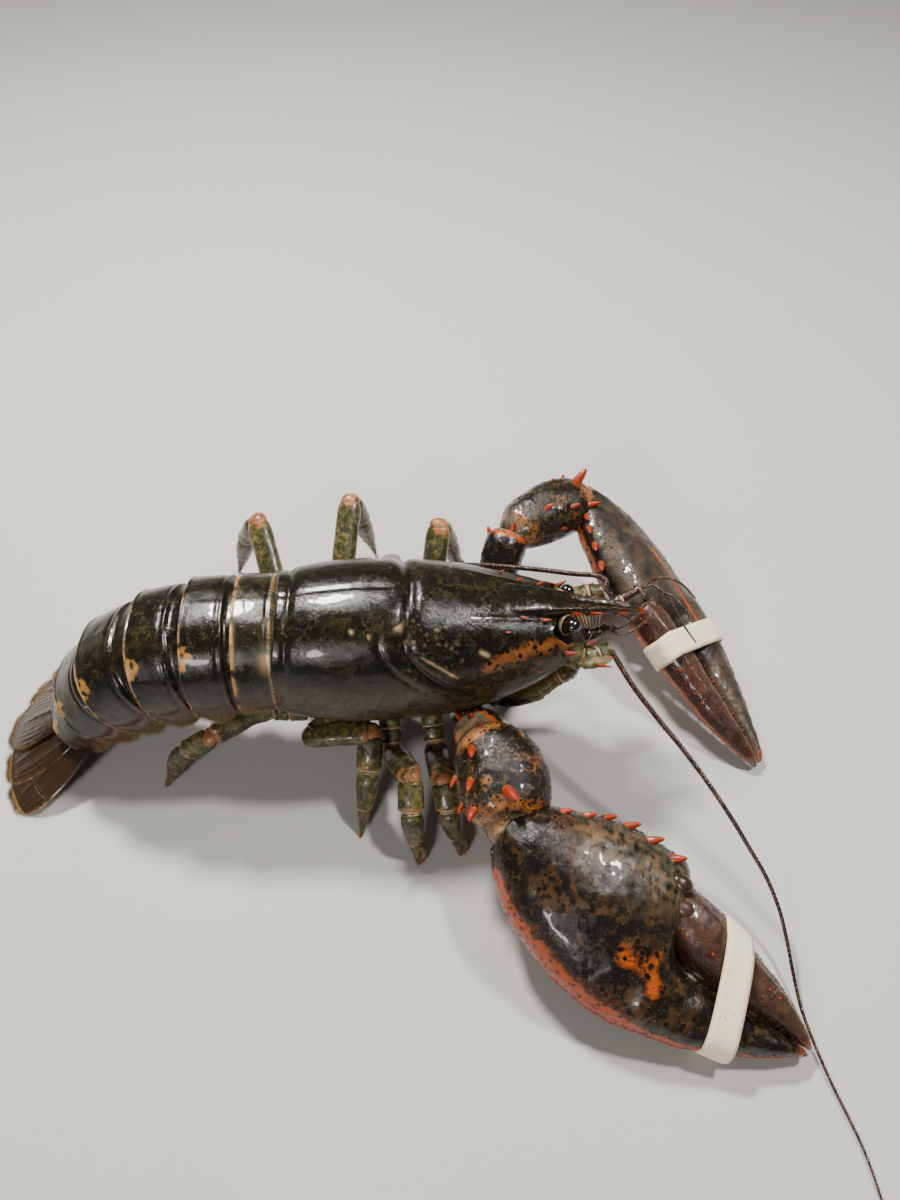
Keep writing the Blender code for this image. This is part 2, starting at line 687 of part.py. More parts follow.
def claw_piece(name, wrist, tip, inward, table, sides, power=2.1):
    """A claw's palm or thumb from its table of edges and thickness."""
    along, inner, face = claw_frame(wrist, tip, inward)
    length = (tip - wrist).length
    rings = []
    for share, outer_edge, inner_edge, thick in table:
        centre = wrist + along * (share * length) + inner * ((outer_edge + inner_edge) / 2 * MM)
        half = (inner_edge - outer_edge) / 2 * MM
        rings.append(section(centre, inner, face, half, thick * MM, sides, power))
    return loft(name, rings, "claw_shell")


def claw_place(wrist, tip, inward, share, across, out):
    """A place on a claw from its share of the length, and millimetres across and out of its face."""
    along, inner, face = claw_frame(wrist, tip, inward)
    return wrist + along * (share * (tip - wrist).length) + inner * (across * MM) + face * (out * MM)


def edge_at(table, share, column):
    """An edge of a claw's table at a share of its length."""
    return through([(row[0], row[column]) for row in table])(share)


def teeth(wrist, tip, inward, table, column, shares, size, lean):
    """A row of teeth along one edge of a finger."""
    along, inner, _ = claw_frame(wrist, tip, inward)
    row = []
    for i, share in enumerate(shares):
        big = size * (1.25 if i % 3 == 0 else 0.85)
        root = claw_place(wrist, tip, inward, share, edge_at(table, share, column) - 0.6 * lean, 0)
        row.append(thorn(root, inner * lean + along * 0.15, big * 1.1 * MM, big * MM, "claw_shell"))
    return row


def palm_spines(wrist, tip, inward, table, shares, size):
    """The row of strong spines along the palm's inner edge."""
    along, inner, face = claw_frame(wrist, tip, inward)
    row = []
    for share in shares:
        middle = (edge_at(table, share, 1) + edge_at(table, share, 2)) / 2
        reach = edge_at(table, share, 2) - middle
        root = claw_place(wrist, tip, inward, share, middle + reach * 0.80, edge_at(table, share, 3) * 0.48)
        row.append(thorn(root, inner + face * 0.8 + along * 0.8, size * 1.9 * MM, size * MM, "claw_shell"))
    return row


def band_reach(shape, share, length, angle):
    """The furthest place of both fingers in a direction, in millimetres across a claw and out of its face."""
    cosine, sine = math.cos(angle), math.sin(angle)
    furthest = None
    for table in (shape["palm"], shape["thumb"]):
        middle = (edge_at(table, share, 1) + edge_at(table, share, 2)) / 2
        here = share + shape["lean"] * middle * MM / length
        low, high, thick = (edge_at(table, here, column) for column in (1, 2, 3))
        middle, half = (low + high) / 2, (high - low) / 2
        reach = math.hypot(half * cosine, thick * sine)
        place = (middle * cosine + reach, middle + half**2 * cosine / reach, thick**2 * sine / reach)
        furthest = max(furthest, place) if furthest else place
    return furthest[1:]


def build_band(name, wrist, tip, shape, claw_nodes):
    """A flat rubber band stretched round both fingers."""
    along, inner, face = claw_frame(wrist, tip, shape["inward"])
    length = (tip - wrist).length
    slant = inner + along * shape["lean"]
    inside, outside = BAND_SLACK, BAND_SLACK + BAND_WALL
    points = []
    for grown, shift in ((inside, -1), (outside, -1), (outside, 1), (inside, 1)):
        share = shape["band"] + shift * BAND_HALF_WIDTH * MM / length
        centre = wrist + along * (share * length)
        for i in range(BAND_SIDES):
            angle = 2 * math.pi * i / BAND_SIDES
            across, out = band_reach(shape, share, length, angle)
            across, out = across + math.cos(angle) * grown, out + math.sin(angle) * grown
            points.append(centre + slant * (across * MM) + face * (out * MM))
    faces = []
    for r in range(4):
        for s in range(BAND_SIDES):
            t, after = (s + 1) % BAND_SIDES, (r + 1) % 4
            near, far = r * BAND_SIDES, after * BAND_SIDES
            faces.append((near + s, near + t, far + t, far + s))
    band = solid(name, points, faces, "rubber_band")
    return cut_clear(band, claw_nodes)


CLAW_SHAPES = {
    "left": {
        "palm": CUTTER_PALM, "thumb": CUTTER_THUMB, "inward": Vector((-0.62, -0.71, 0.34)), "band": 0.58,
        "spines": (0.08, 0.15, 0.22, 0.29), "teeth": steps(8, 0.56, 0.90), "tooth": 1.1, "lean": 0,
        "size": 0.92,
    },
    "right": {
        "palm": CRUSHER_PALM, "thumb": CRUSHER_THUMB, "inward": Vector((0.61, 0.75, 0.26)), "band": 0.72,
        "spines": (0.10, 0.19, 0.28, 0.37, 0.45), "teeth": steps(5, 0.62, 0.90), "tooth": 2.4, "lean": -0.33,
        "size": 1.0,
    },
}


def limb_spines(start, end, places, reach, outwards):
    """Strong spines on a segment, from places that list (share of its length, upwards, sideways)."""
    along = (end - start).normalized()
    side = along.cross(Vector((0, 0, 1))).normalized() * outwards
    spines = []
    for share, lift, aside in places:
        lean = (Vector((0, 0, lift)) + side * aside).normalized()
        root = start.lerp(end, share) + lean * (reach * MM)
        spines.append(thorn(root, lean + along * 0.85, 5 * MM, 2 * MM, "claw_shell"))
    return spines


def build_claw_leg(name, thorax, carapace):
    """A claw leg: four segments with a thumb and a rubber band."""
    root, hip, elbow, wrist, tip = (mm(*place) for place in CLAW_LEGS[name])
    shape = CLAW_SHAPES[name]
    inward = shape["inward"]
    up = Vector((0, 0, 1))
    hip_sizes = [(0, 5.5, 5.5), (0.3, 6.5, 6.5), (0.8, 7.5, 7), (1, 7.6, 6.8)]
    ischium = limb_segment("claw_hip_" + name, root, hip, up, hip_sizes, "claw_shell", 10, 4)
    cut_clear(ischium, [thorax, carapace])
    merus_sizes = [(0, 5, 5), (0.12, 6.6, 6.6), (0.45, 8.4, 8), (0.8, 10, 9.6), (0.93, 9.6, 9), (1, 7.5, 7)]
    merus_sizes = [(share, wide * shape["size"], deep * shape["size"]) for share, wide, deep in merus_sizes]
    merus = limb_segment("claw_arm_" + name, hip, elbow, up, merus_sizes, "claw_shell", 12, 8, 1.0)
    outwards = 1 if name == "right" else -1
    fuse(merus, limb_spines(hip, elbow, ARM_SPINES, 8.2 * shape["size"], outwards))
    cut_clear(merus, [ischium, carapace, thorax])
    if name == "right":
        carpus_sizes = [
            (0, 7, 6), (0.12, 11.5, 10), (0.4, 16, 13.5), (0.75, 17, 14), (0.92, 14, 12), (1, 10, 8),
        ]
        sway, deep = -4.5, 14.5
    else:
        carpus_sizes = [
            (0, 6.5, 6), (0.12, 10.5, 9.5), (0.4, 13, 12), (0.75, 13, 12), (0.92, 10.5, 10), (1, 8, 7),
        ]
        sway, deep = -1.0, 12
    node = "claw_elbow_" + name
    carpus = limb_segment(node, elbow, wrist, up, carpus_sizes, "claw_shell", 12, 8, 1.0, sway)
    fuse(carpus, limb_spines(elbow, wrist, ELBOW_SPINES, deep, 1))
    cut_clear(carpus, [merus, carapace])
    sides = 18 if name == "right" else 16
    palm = claw_piece("claw_palm_" + name, wrist, tip, inward, shape["palm"], sides)
    size = 2.2 if name == "right" else 1.9
    extras = palm_spines(wrist, tip, inward, shape["palm"], shape["spines"], size)
    extras += teeth(wrist, tip, inward, shape["palm"], 2, shape["teeth"], shape["tooth"], 1)
    fuse(palm, extras)
    cut_clear(palm, [carpus])
    thumb = claw_piece("claw_thumb_" + name, wrist, tip, inward, shape["thumb"], 16)
    offset = [share + 0.5 * (shape["teeth"][1] - shape["teeth"][0]) for share in shape["teeth"][:-1]]
    fuse(thumb, teeth(wrist, tip, inward, shape["thumb"], 1, offset, shape["tooth"], -1))
    cut_clear(thumb, [palm])
    band = build_band("claw_band_" + name, wrist, tip, shape, [palm, thumb])
    return [ischium, merus, carpus, stand_on_floor(palm), stand_on_floor(thumb), stand_on_floor(band)]


# Walking legs
def build_walking_leg(name, thorax, neighbours):
    """A walking leg in two lengths, the second ending in a point or a small pincer."""
    root, hip, knee, ankle, toe = (mm(*place) for place in WALKING_LEGS[name])
    toe = toe - Vector((0, 0, FLOOR_BITE))
    up = Vector((1, 0, 0.2))
    upper_path = path_through([root, hip, hip.lerp(knee, 0.5), knee])
    size = [(0, 4.6), (0.22, 4.4), (0.32, 4.0), (0.42, 4.9), (0.7, 5.3), (0.92, 5.1), (1, 3.8)]
    width, height = through(scaled(size, LEG_FLATNESS)), through(size)
    upper = tube("leg_upper_" + name, upper_path, width, height, steps(8), 8, up, "leg_shell")
    cut_clear(upper, [thorax] + neighbours)
    lower_path = path_through([knee, ankle, ankle.lerp(toe, 0.5), toe])
    size = [(0, 4.0), (0.1, 5.0), (0.3, 5.0), (0.38, 4.2), (0.48, 4.4), (0.66, 3.4), (0.8, 2.0), (1, 0.75)]
    width, height = through(scaled(size, LEG_FLATNESS)), through(size)
    lower = tube("leg_lower_" + name, lower_path, width, height, steps(8), 7, up, "leg_shell")
    if name in PINCER_LEGS:
        aside = (toe - ankle).cross(Vector((0, 1, 0))).normalized()
        start = ankle.lerp(toe, 0.50)
        end = toe + aside * (1.3 * MM) + mm(0, 0, 1.5)
        finger = path_through([start, start.lerp(toe, 0.45) + aside * (2.6 * MM), end])
        pinch = through([(0, 2.3), (1, 0.6)])
        fuse(lower, [tube("pincer", finger, pinch, pinch, steps(4), 6, up, "leg_shell")])
    cut_clear(lower, [upper])
    return [upper, stand_on_floor(lower)]


def set_down(objects):
    """Moves the middle of the bottom of everything's box to the origin, and smooths rounded faces."""
    for body in objects:
        for vert in body.data.vertices:
            vert.co += mm(*MODEL_SHIFT)
        body.data.shade_smooth()
        body.data.set_sharp_from_angle(angle=math.radians(50))


def main():
    for old in list(bpy.data.objects):
        bpy.data.objects.remove(old)
    carapace = build_carapace()
    thorax = build_thorax(carapace)
    head = build_head(carapace)
    built = [carapace, thorax, head]
    built += build_eyes(carapace, head)
    built += build_mouth_limbs(carapace, thorax, head)
    frames = somite_frames()
    somites = []
    for index in range(6):
        somites.append(build_somite(index, frames, [carapace, thorax] if index == 0 else [somites[-1]]))
    built += somites
    built += build_tail_fan(frames, somites[-1])
    claws = []
    for name in CLAW_LEGS:
        claws += build_claw_leg(name, thorax, carapace)
    built += claws
    built += build_feelers(carapace, head)
    for name in WALKING_LEGS:
        built += build_walking_leg(name, thorax, [carapace])
    set_down(built)


main()
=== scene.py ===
"""The looks of a life-size American lobster with banded claws, laid out as a Blender add-on and run as a script.

Every place is written in millimetres in the animal's own frame: the head at +X, its left side at +Y and the floor at
z = 0. MODEL_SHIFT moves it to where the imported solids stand. Curves and tables are the ones that the solids are built
from, read more finely, and each piece stands for the solids it is named after.
"""

import itertools
import json
import math

import bmesh
import bpy
import numpy as np
from bpy.props import FloatProperty, FloatVectorProperty, PointerProperty
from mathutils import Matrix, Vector

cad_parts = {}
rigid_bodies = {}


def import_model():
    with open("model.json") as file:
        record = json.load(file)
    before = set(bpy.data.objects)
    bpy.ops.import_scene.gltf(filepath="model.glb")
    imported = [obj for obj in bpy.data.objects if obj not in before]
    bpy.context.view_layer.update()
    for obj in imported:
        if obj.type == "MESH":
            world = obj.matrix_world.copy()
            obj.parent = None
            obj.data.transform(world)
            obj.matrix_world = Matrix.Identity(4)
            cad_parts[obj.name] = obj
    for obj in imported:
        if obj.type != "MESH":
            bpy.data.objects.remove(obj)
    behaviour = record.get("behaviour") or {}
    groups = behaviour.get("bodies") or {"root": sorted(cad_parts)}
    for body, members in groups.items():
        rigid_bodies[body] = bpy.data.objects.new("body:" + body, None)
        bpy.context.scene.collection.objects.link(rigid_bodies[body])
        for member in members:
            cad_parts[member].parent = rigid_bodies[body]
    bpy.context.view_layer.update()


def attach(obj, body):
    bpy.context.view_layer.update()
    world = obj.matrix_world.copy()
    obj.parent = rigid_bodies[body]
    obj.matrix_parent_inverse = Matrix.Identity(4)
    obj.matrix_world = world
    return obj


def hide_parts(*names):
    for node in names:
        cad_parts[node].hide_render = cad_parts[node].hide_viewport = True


bl_info = {
    "name": "American lobster",
    "version": (1, 0, 0),
    "blender": (4, 5, 0),
    "location": "3D View > Sidebar > Lobster",
    "description": "Builds a still, life-size American lobster with banded claws",
    "category": "Object",
}

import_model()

MM = 0.001
PER_SQUARE_METRE = 1e6  # square millimetres in a square metre
MODEL_SHIFT = np.array((16.4, 45.8, 0))
UP = np.array((0, 0, 1))
HANDS = ((1, "left"), (-1, "right"))
# Millimetres between the floor and what would reach below it
FLOOR_GAP = 0.05
TOE_GAP = 0.03

# Camera place in the model's frame, in millimetres, and where it looks
CAMERA_PLACE = (18.078, -185.839, 350.042)
CAMERA_AIM = (0.0343, 0.6552, -0.7547)
# Lights: name, place in metres, diameter, share of the power, colour
LIGHTS = (
    ("key", (-0.25, 0.55, 0.95), 0.15, 1, (1, 0.97, 0.92)),
    ("top", (0.5, 0.1, 1), 0.11, 0.5, (1, 0.98, 0.95)),
    ("fill", (-0.5, -1, 0.75), 0.26, 0.4, (1, 0.97, 0.93)),
)
LIT_PLACE = Vector((0, 0, 0.03))
FLOOR_REACH = 3  # metres from the middle of the floor to its edges

# What a mesh keeps at each point: numbers, kind of attribute, name of its value
FIELDS = {
    "marks": (4, "FLOAT_COLOR", "color"),
    "hair": (1, "FLOAT", "value"),
    "grain": (1, "FLOAT", "value"),
    "lie": (3, "FLOAT_VECTOR", "vector"),
}
UV_MARGIN = 0.03  # free at each side of a patch's cell in the UV map, as a share of the cell
# Numbers that scramble a cell's place into the height of a lump
HASH_PRIMES = (73856093, 19349663, 83492791)
HASH_FACTOR = 1274126177
# A spine's share of its length, and its girth where it is sharp and where it is blunt
SPINE_PROFILE = (
    (-0.3, 1.35, 1.12), (-0.08, 1.28, 1.08), (0.05, 1.08, 1.06), (0.16, 0.92, 1.03), (0.3, 0.78, 0.98),
    (0.48, 0.6, 0.9), (0.66, 0.42, 0.77), (0.82, 0.26, 0.58), (0.93, 0.14, 0.37), (0.985, 0.06, 0.17), (1, 0.01, 0.01),
)
# A knob's share of its height, and its girth there
KNOB_PROFILE = (
    (-0.5, 1.2), (0, 1.05), (0.25, 0.97), (0.5, 0.86), (0.72, 0.68), (0.88, 0.46), (0.97, 0.22), (1, 0.02),
)

# Finishes of the shell: darkest colour, mottles, specks and margins, each a colour or a setting's name, then the
# flank as (height where it is full, height where it ends, colour), rust, black spots, specks, gloss, pits and scale
SHELLS = {
    "shell": ("shell_dark", "shell_olive", "shell_speck", "cheek", (56, 85, "flank"), 0, 1, 0.35),
    "tail_shell": (
        "shell_dark", "shell_olive", "shell_speck", "tail_margin", (18, 50, (0.034, 0.017, 0.009)), 0, 0.1, 0.45,
    ),
    "claw_shell": ("claw_dark", "claw_brown", "shell_speck", "warm", None, 0.22, 1, 0.4, 0.08, 0.5),
    "cutter_shell": (
        (0.013, 0.01, 0.009), (0.033, 0.025, 0.02), (0.046, 0.035, 0.027), "warm", None, 0, 0.35, 0.4, 0.26, 0.35,
    ),
    "thumb_shell": (
        (0.015, 0.007, 0.006), (0.046, 0.018, 0.013), (0.075, 0.031, 0.021), "warm", None, 0.1, 0.3, 0.5, 0.1, 0.6,
    ),
    "elbow_shell": (
        "claw_dark", (0.03, 0.027, 0.012), (0.12, 0.078, 0.024), (0.34, 0.115, 0.02), None, 0, 1, 0.6, 0.08, 0.7, 1.5,
    ),
    "leg_shell": ("leg_dark", "leg", (0.24, 0.19, 0.075), (0.42, 0.15, 0.05), None, 0, 0.3, 0.6, 0.1, 0.5, 1.6),
    "feeler": (
        (0.014, 0.006, 0.005), (0.05, 0.013, 0.008), (0.1, 0.04, 0.02), (0.3, 0.17, 0.07), None,
        0, 0, 0.4, 0.18, 0.3, 2,
    ),
}
SHELL_TONES = 4  # colours before the flank in each of these rows
JOINT_TEAL = (0.085, 0.135, 0.11)
EYE_RIM = (0.2, 0.13, 0.065)
BRISTLE_STRAY = 0.35  # how far bristles stray from their common direction
# What spreads the bristles over their root's patch of the bake map, and the patch's width
BAKE_STEPS = (0.3719, 0.7137)
BAKE_PATCH = 0.003
# First seeds of the bristles, and of the grains, on each part
BRISTLE_SEEDS = {
    "carapace": 11, "somite": 30, "tail": 50, "stem": 70, "short": 90, "mouth": 110, "inner_mouth": 119, "claw": 130,
    "leg": 150,
}
GRAIN_SEEDS = {"claw": 120, "arm": 140, "elbow": 144}

# The carapace and head in millimetres
EYE_PLACE = np.array((60, 8.7, 75.3))
ROSTRUM_TIP = (90, 0, 72)
# The orange cheek's line, the cream flecks as (place, reach) and the cream lines as (paleness, places, reach)
CHEEK_LINE = ((27, 24.3, 73), (35.6, 21.2, 75), (42.4, 18.8, 74.6), (55, 14, 73))
CREAM_SPOTS = (((-5.6, -16.3, 88), 1.9), ((-3, -19, 86.5), 1.2), ((-16.8, -19.4, 87), 0.8), ((-22.7, -17.6, 88), 0.8))
CREAM_LINES = (
    (0.7, ((2.3, -24.6, 80.3), (9, -26.6, 76), (15, -27.6, 71.3)), 0.5),
    (0.9, ((24.2, -21.8, 78.3), (26.6, -22.5, 77.2)), 0.8),
)
# The eye socket's profile: radius, depth and paleness
SOCKET_PROFILE = (
    (0.5, -3, 0), (2.4, -2.6, 0), (3.6, -1.5, 0.1), (4.2, 0, 0.25), (4.25, 0.6, 0.34), (4, 0.9, 0.36),
    (3.6, 0.7, 0.3), (3.35, 0, 0.15), (2.6, -1.6, 0.05), (0.4, -2.2, 0),
)
MOUTH_LIMB = ((25, 6, 31), (36, 9, 31), (48, 11, 37), (57, 10, 45), (62, 8, 47), (61, 6, 39), (55, 5, 34))

# The abdomen's rings in millimetres: length, slope in degrees, half width, height, belly, side plates' drop
ABDOMEN_START = (-51, 0, 60)
SOMITES = (
    (16, 0, 28, 27.5, 9, 10), (17, 4, 28, 27.5, 9, 16), (17.5, 15, 27, 26, 9, 17), (20, 33, 25.5, 24, 8.5, 16.5),
    (17, 48, 23, 21, 8, 15), (17, 55, 19.5, 16, 7, 10),
)
PADDLE_SOMITES = (1, 2, 3, 4)
# The side plates: their outline as (share of half width, share of drop), then their drop and the ring's swell as
# (share of the ring's length, share of the full size)
PLEURON_OUTLINE = ((0.965, 0.3), (0.93, 0.58), (0.87, 0.86), (0.805, 1), (0.78, 0.96), (0.75, 0.8))
PLEURON_LOBE = ((-9, 0.02), (0, 0.22), (0.3, 0.78), (0.55, 1), (0.72, 0.98), (0.86, 0.66), (1, 0.33))
SOMITE_SWELL = ((-9, 0.93), (-1, 0.93), (-0.02, 0.93), (0.05, 0.945), (0.12, 0.985), (0.7, 1), (1, 1))
# Tail plates: name, angle in degrees, half width, thickness as a share, shift aside and upwards
TAIL_PLATE_LENGTH = 42
TAIL_PLATES = (
    ("telson", 0, 13, 1.25, 0, 6),
    ("tail_fan_inner_left", 17, 11, 1, 9, 1),
    ("tail_fan_inner_right", -17, 11, 1, -9, 1),
    ("tail_fan_outer_left", 36, 11.5, 1, 13, -2.5),
    ("tail_fan_outer_right", -36, 11.5, 1, -13, -2.5),
)

# Limb joints in millimetres, from the root outwards
CLAW_LEGS = {
    "left": ((17, 12, 30), (29, 30, 29), (43.5, 64, 53), (81, 86.5, 51.5), (142, -30, 4.5)),
    "right": ((17, -12, 29), (38, -20, 12), (21, -35, 46), (31, -70, 38), (131.5, -141, 6)),
}
WALKING_LEGS = {
    "left_2": ((4, 11, 29), (4, 30, 24), (12.5, 68, 56), (17, 77, 35), (24, 90, 0)),
    "left_3": ((-13, 11, 29), (-15, 29, 23), (-12, 60, 38), (-10, 75, 26), (-6, 92, 0)),
    "left_4": ((-30, 11, 29), (-36, 30, 25), (-27, 84, 58), (-24, 93, 36), (-19, 106, 0)),
    "left_5": ((-45, 11, 30), (-54, 27, 25), (-69, 77, 54), (-78, 86, 32), (-88, 97, 0)),
    "right_2": ((5, -11, 29), (7, -25, 17), (9, -43, 26), (11, -54, 17), (15, -63, 0)),
    "right_3": ((-12, -11, 29), (-11, -24, 18), (-4, -43, 29), (-4, -55, 20), (-2, -66, 0)),
    "right_4": ((-30, -11, 29), (-43.5, -19.5, 26), (-19, -23, 31), (-21.5, -39, 17), (-25, -53, 0)),
    "right_5": ((-45, -11, 30), (-66, -11.5, 31), (-83, -20, 29), (-98, -22, 17), (-107, -25, 0)),
}
PINCER_LEGS = ("left_2", "left_3", "right_2", "right_3")

CLAW_POWER = 2.1  # how square a claw is across
CLAW_SPINE = 1.35  # size of the palm's spines
BAND_WALL = 1.15  # millimetres
# The orange seam along the cutter's palm
CUTTER_SEAM = ((108, 58, 46), (110.7, 53, 44), (118, 41, 37), (125.2, 29.4, 29.4))
# The claws in shares of their length: (share, outer edge, inner edge, half thickness), edges in millimetres
CRUSHER_PALM = (
    (0, -11, 9, 8), (0.05, -18, 13.5, 12), (0.14, -26.5, 18.5, 15.5), (0.28, -33, 25, 18),
    (0.42, -35.5, 26.5, 17), (0.5, -35, 24, 15), (0.55, -34, 2, 13.5), (0.59, -32.5, -5.5, 12),
    (0.7, -28, -6, 10), (0.82, -20.5, -5.5, 8), (0.92, -12.5, -4.5, 6), (0.98, -7, -4, 3.5), (1, -5.5, -4.2, 1.2),
)
CRUSHER_THUMB = (
    (0.46, 4, 13, 6), (0.5, 1, 18.5, 11), (0.56, -3, 20, 13), (0.66, -4.8, 17.5, 12), (0.78, -4.6, 13, 9.5),
    (0.89, -4, 7.5, 7.5), (0.97, -3.5, 2, 4), (1, -3, -1, 1.3),
)
CUTTER_PALM = (
    (0, -7, 7, 6.5), (0.05, -11.5, 11, 8.5), (0.13, -17, 16, 10.5), (0.25, -21, 19.5, 12), (0.36, -22.5, 20, 11.5),
    (0.42, -24, 18, 10.5), (0.46, -24.6, 7, 9.8), (0.5, -24.8, -1, 9), (0.63, -23, -1.5, 8), (0.78, -17.5, -2, 6.2),
    (0.9, -10.5, -2, 4.4), (0.98, -5, -2, 2.4), (1, -3.5, -2, 0.8),
)
CUTTER_THUMB = (
    (0.38, 5, 14, 4), (0.42, 3, 17, 7), (0.48, 1.5, 18, 8.5), (0.6, 1, 16.5, 8), (0.74, 0.5, 14, 6.8),
    (0.87, 0, 9.5, 5), (0.97, -1, 4, 2.6), (1, -1.5, 1, 0.8),
)
# Each claw: its tables, the way towards its thumb, its band's share of the length and lean, its spines as (share,
# degrees) and its teeth as (first share, last share, number)
CLAW_SHAPES = {
    "left": {
        "palm": CUTTER_PALM, "thumb": CUTTER_THUMB, "inward": (-0.62, -0.71, 0.34), "band": 0.58, "lean": 0,
        "spines": ((0.08, 20), (0.125, 16), (0.185, 12), (0.25, 6)), "teeth": (0.54, 0.96, 30),
    },
    "right": {
        "palm": CRUSHER_PALM, "thumb": CRUSHER_THUMB, "inward": (0.61, 0.75, 0.26), "band": 0.72, "lean": -0.33,
        "spines": ((0.11, 30), (0.17, 24), (0.22, 14), (0.285, 16), (0.355, 24), (0.43, 30)),
        "teeth": (0.61, 0.95, 12),
    },
}
# Sizes along the claw arms: (share of the segment, half width, half depth)
HIP_SIZES = ((0, 5.5, 5.5), (0.3, 6.5, 6.5), (0.8, 7.5, 7), (0.95, 7.6, 6.9), (1, 6.6, 6))
ARM_SIZES = ((0, 5, 5), (0.12, 6.6, 6.6), (0.45, 8.4, 8), (0.8, 10, 9.6), (0.93, 9.6, 9), (1, 7.5, 7))
ELBOW_SIZES = {
    "left": ((0, 6.5, 6), (0.12, 10.5, 9.5), (0.4, 13, 12), (0.75, 13, 12), (0.92, 10.5, 10), (1, 8, 7)),
    "right": ((0, 7, 6), (0.12, 11.5, 10), (0.4, 16, 13.5), (0.75, 17, 14), (0.92, 14, 12), (1, 10, 8)),
}
# Spines of the claw arms: (share of the segment, upwards, sideways, size)
ARM_SPINES = ((0.78, 0.9, 0.5, 1), (0.9, 0.2, 1, 1), (0.55, 1, 0.2, 0.9), (0.93, 1, -0.3, 0.8), (0.4, 0.9, 0.1, 0.6))
ELBOW_SPINES = (
    (0.35, 0.9, 0.4, 1), (0.62, 0.8, 0.75, 1), (0.62, 0.8, -0.6, 1), (0.86, 0.6, 0.9, 1), (0.86, 0.95, -0.1, 1.5),
    (0.86, 0.4, -1, 1), (0.45, 0.2, 1, 0.7), (0.3, 0.6, -0.8, 0.6), (0.7, 0.1, 1, 0.7),
)

# Feelers in millimetres
ANTENNA_ROOTS = {"left": (57, 10.5, 62.5), "right": (57, -10.5, 62.5)}
ANTENNA_ENDS = {"left": (77, 17, 65.5), "right": (75.5, -11, 63.2)}
WHIPS = {
    "left": (
        (77, 17, 65.5), (78.5, 21.5, 66.5), (75, 24.5, 66.5), (66, 26, 66.5), (52, 28.6, 67), (28, 32.5, 67),
        (-2, 36.5, 64.5), (-35, 41, 59), (-68, 46, 48), (-102, 51, 34), (-132, 56, 18), (-155, 60, 4),
    ),
    "right": (
        (75.5, -11.5, 63.2), (82.5, -24, 57), (91.5, -37.5, 51.5), (99, -47.5, 47), (107, -60, 42), (114, -71, 36),
        (120.3, -80.5, 29), (125.5, -89, 23), (129, -98.5, 17), (130.8, -107.5, 11), (131.5, -118, 6), (132, -130, 3),
        (135, -150, 1.6), (140, -174, 1.2), (141, -198, 1.1),
    ),
}
# Places along each antennule's stem and its two whips
ANTENNULES = {
    "left": (
        ((62, 5, 67), (72, 7, 65), (80, 10, 65.5), (91, 15, 68)),
        ((91, 15, 68), (96, 15, 70), (101, 9, 69), (105, 0, 65), (110, -8, 61)),
        ((91, 15, 68), (96, 17, 71), (101.5, 15.5, 73.5), (106.5, 11, 74), (110.5, 5, 72.5)),
    ),
    "right": (
        ((62, -5, 67), (69, -4, 64), (76, 0, 63)),
        ((76, 0, 63), (81, 0.5, 62), (87, 3, 65), (92, 6, 70), (99, 7, 74), (104, 0, 74), (107, -6, 71)),
        ((76, 0, 63), (81, -2.5, 61.5), (87, -1, 62.5), (92.5, 2, 66.5)),
    ),
}


# Curves, rings and roughness
def through(points):
    """A smooth curve through (place, value) pairs, as a function of an array of places."""
    places = np.array([place for place, _ in points], float)
    values = np.array([value for _, value in points], float)
    count = len(places)
    before, after = np.maximum(np.arange(count) - 1, 0), np.minimum(np.arange(count) + 1, count - 1)
    wide = (-1,) + (1,) * (values.ndim - 1)
    slopes = (values[after] - values[before]) / (places[after] - places[before]).reshape(wide)

    def value(place):
        place = np.clip(np.asarray(place, float), places[0], places[-1])
        i = np.clip(np.searchsorted(places, place, side="left") - 1, 0, count - 2)
        span = places[i + 1] - places[i]
        t = (place - places[i]) / span
        if values.ndim > 1:
            t, span = t[..., None], span[..., None]
        start = values[i] * (2 * t**3 - 3 * t**2 + 1) + slopes[i] * span * (t**3 - 2 * t**2 + t)
        return start + values[i + 1] * (3 * t**2 - 2 * t**3) + slopes[i + 1] * span * (t**3 - t**2)

    return value


def path_through(stops):
    """A smooth path through places, run from 0 to 1 by the distance along it."""
    stops = np.array(stops, float)
    walked = np.concatenate(([0], np.cumsum(np.linalg.norm(np.diff(stops, axis=0), axis=1))))
    return through(list(zip(walked / walked[-1], stops)))


def read(size, shares):
    """Values at shares, of a function, of a list of (share, value) pairs, or as they are given."""
    if isinstance(size, list):
        size = through(size)
    return size(shares) if callable(size) else size * np.ones(len(shares))


def unit(vectors):
    """Vectors of length 1."""
    vectors = np.asarray(vectors, float)
    return vectors / np.maximum(np.linalg.norm(vectors, axis=-1, keepdims=True), 1e-9)


def ease(value, low, high):
    """0 below low and 1 above high, with a smooth step between."""
    t = np.clip((np.asarray(value, float) - low) / (high - low), 0, 1)
    return t * t * (3 - 2 * t)


def hump(value, middle, half_width):
    """1 at the middle, falling smoothly to 0 on both sides."""
    near = (np.asarray(value, float) - middle) / half_width
    return np.exp(-near * near)


def close_to(places, stops, reach):
    """1 on a line through places, falling smoothly to 0 beside it."""
    line = path_through(stops)(np.linspace(0, 1, 40))
    return hump(np.min([np.linalg.norm(places - spot, axis=-1) for spot in line], axis=0), 0, reach)


def full_turn(sides):
    """Even angles round a circle, in radians."""
    return 2 * math.pi * np.arange(sides) / sides


def rounded(angle, power):
    """Cosine and sine of angles on a circle whose corners are squared by a power above 2."""
    return [np.copysign(np.abs(part) ** (2 / power), part) for part in (np.cos(angle), np.sin(angle))]


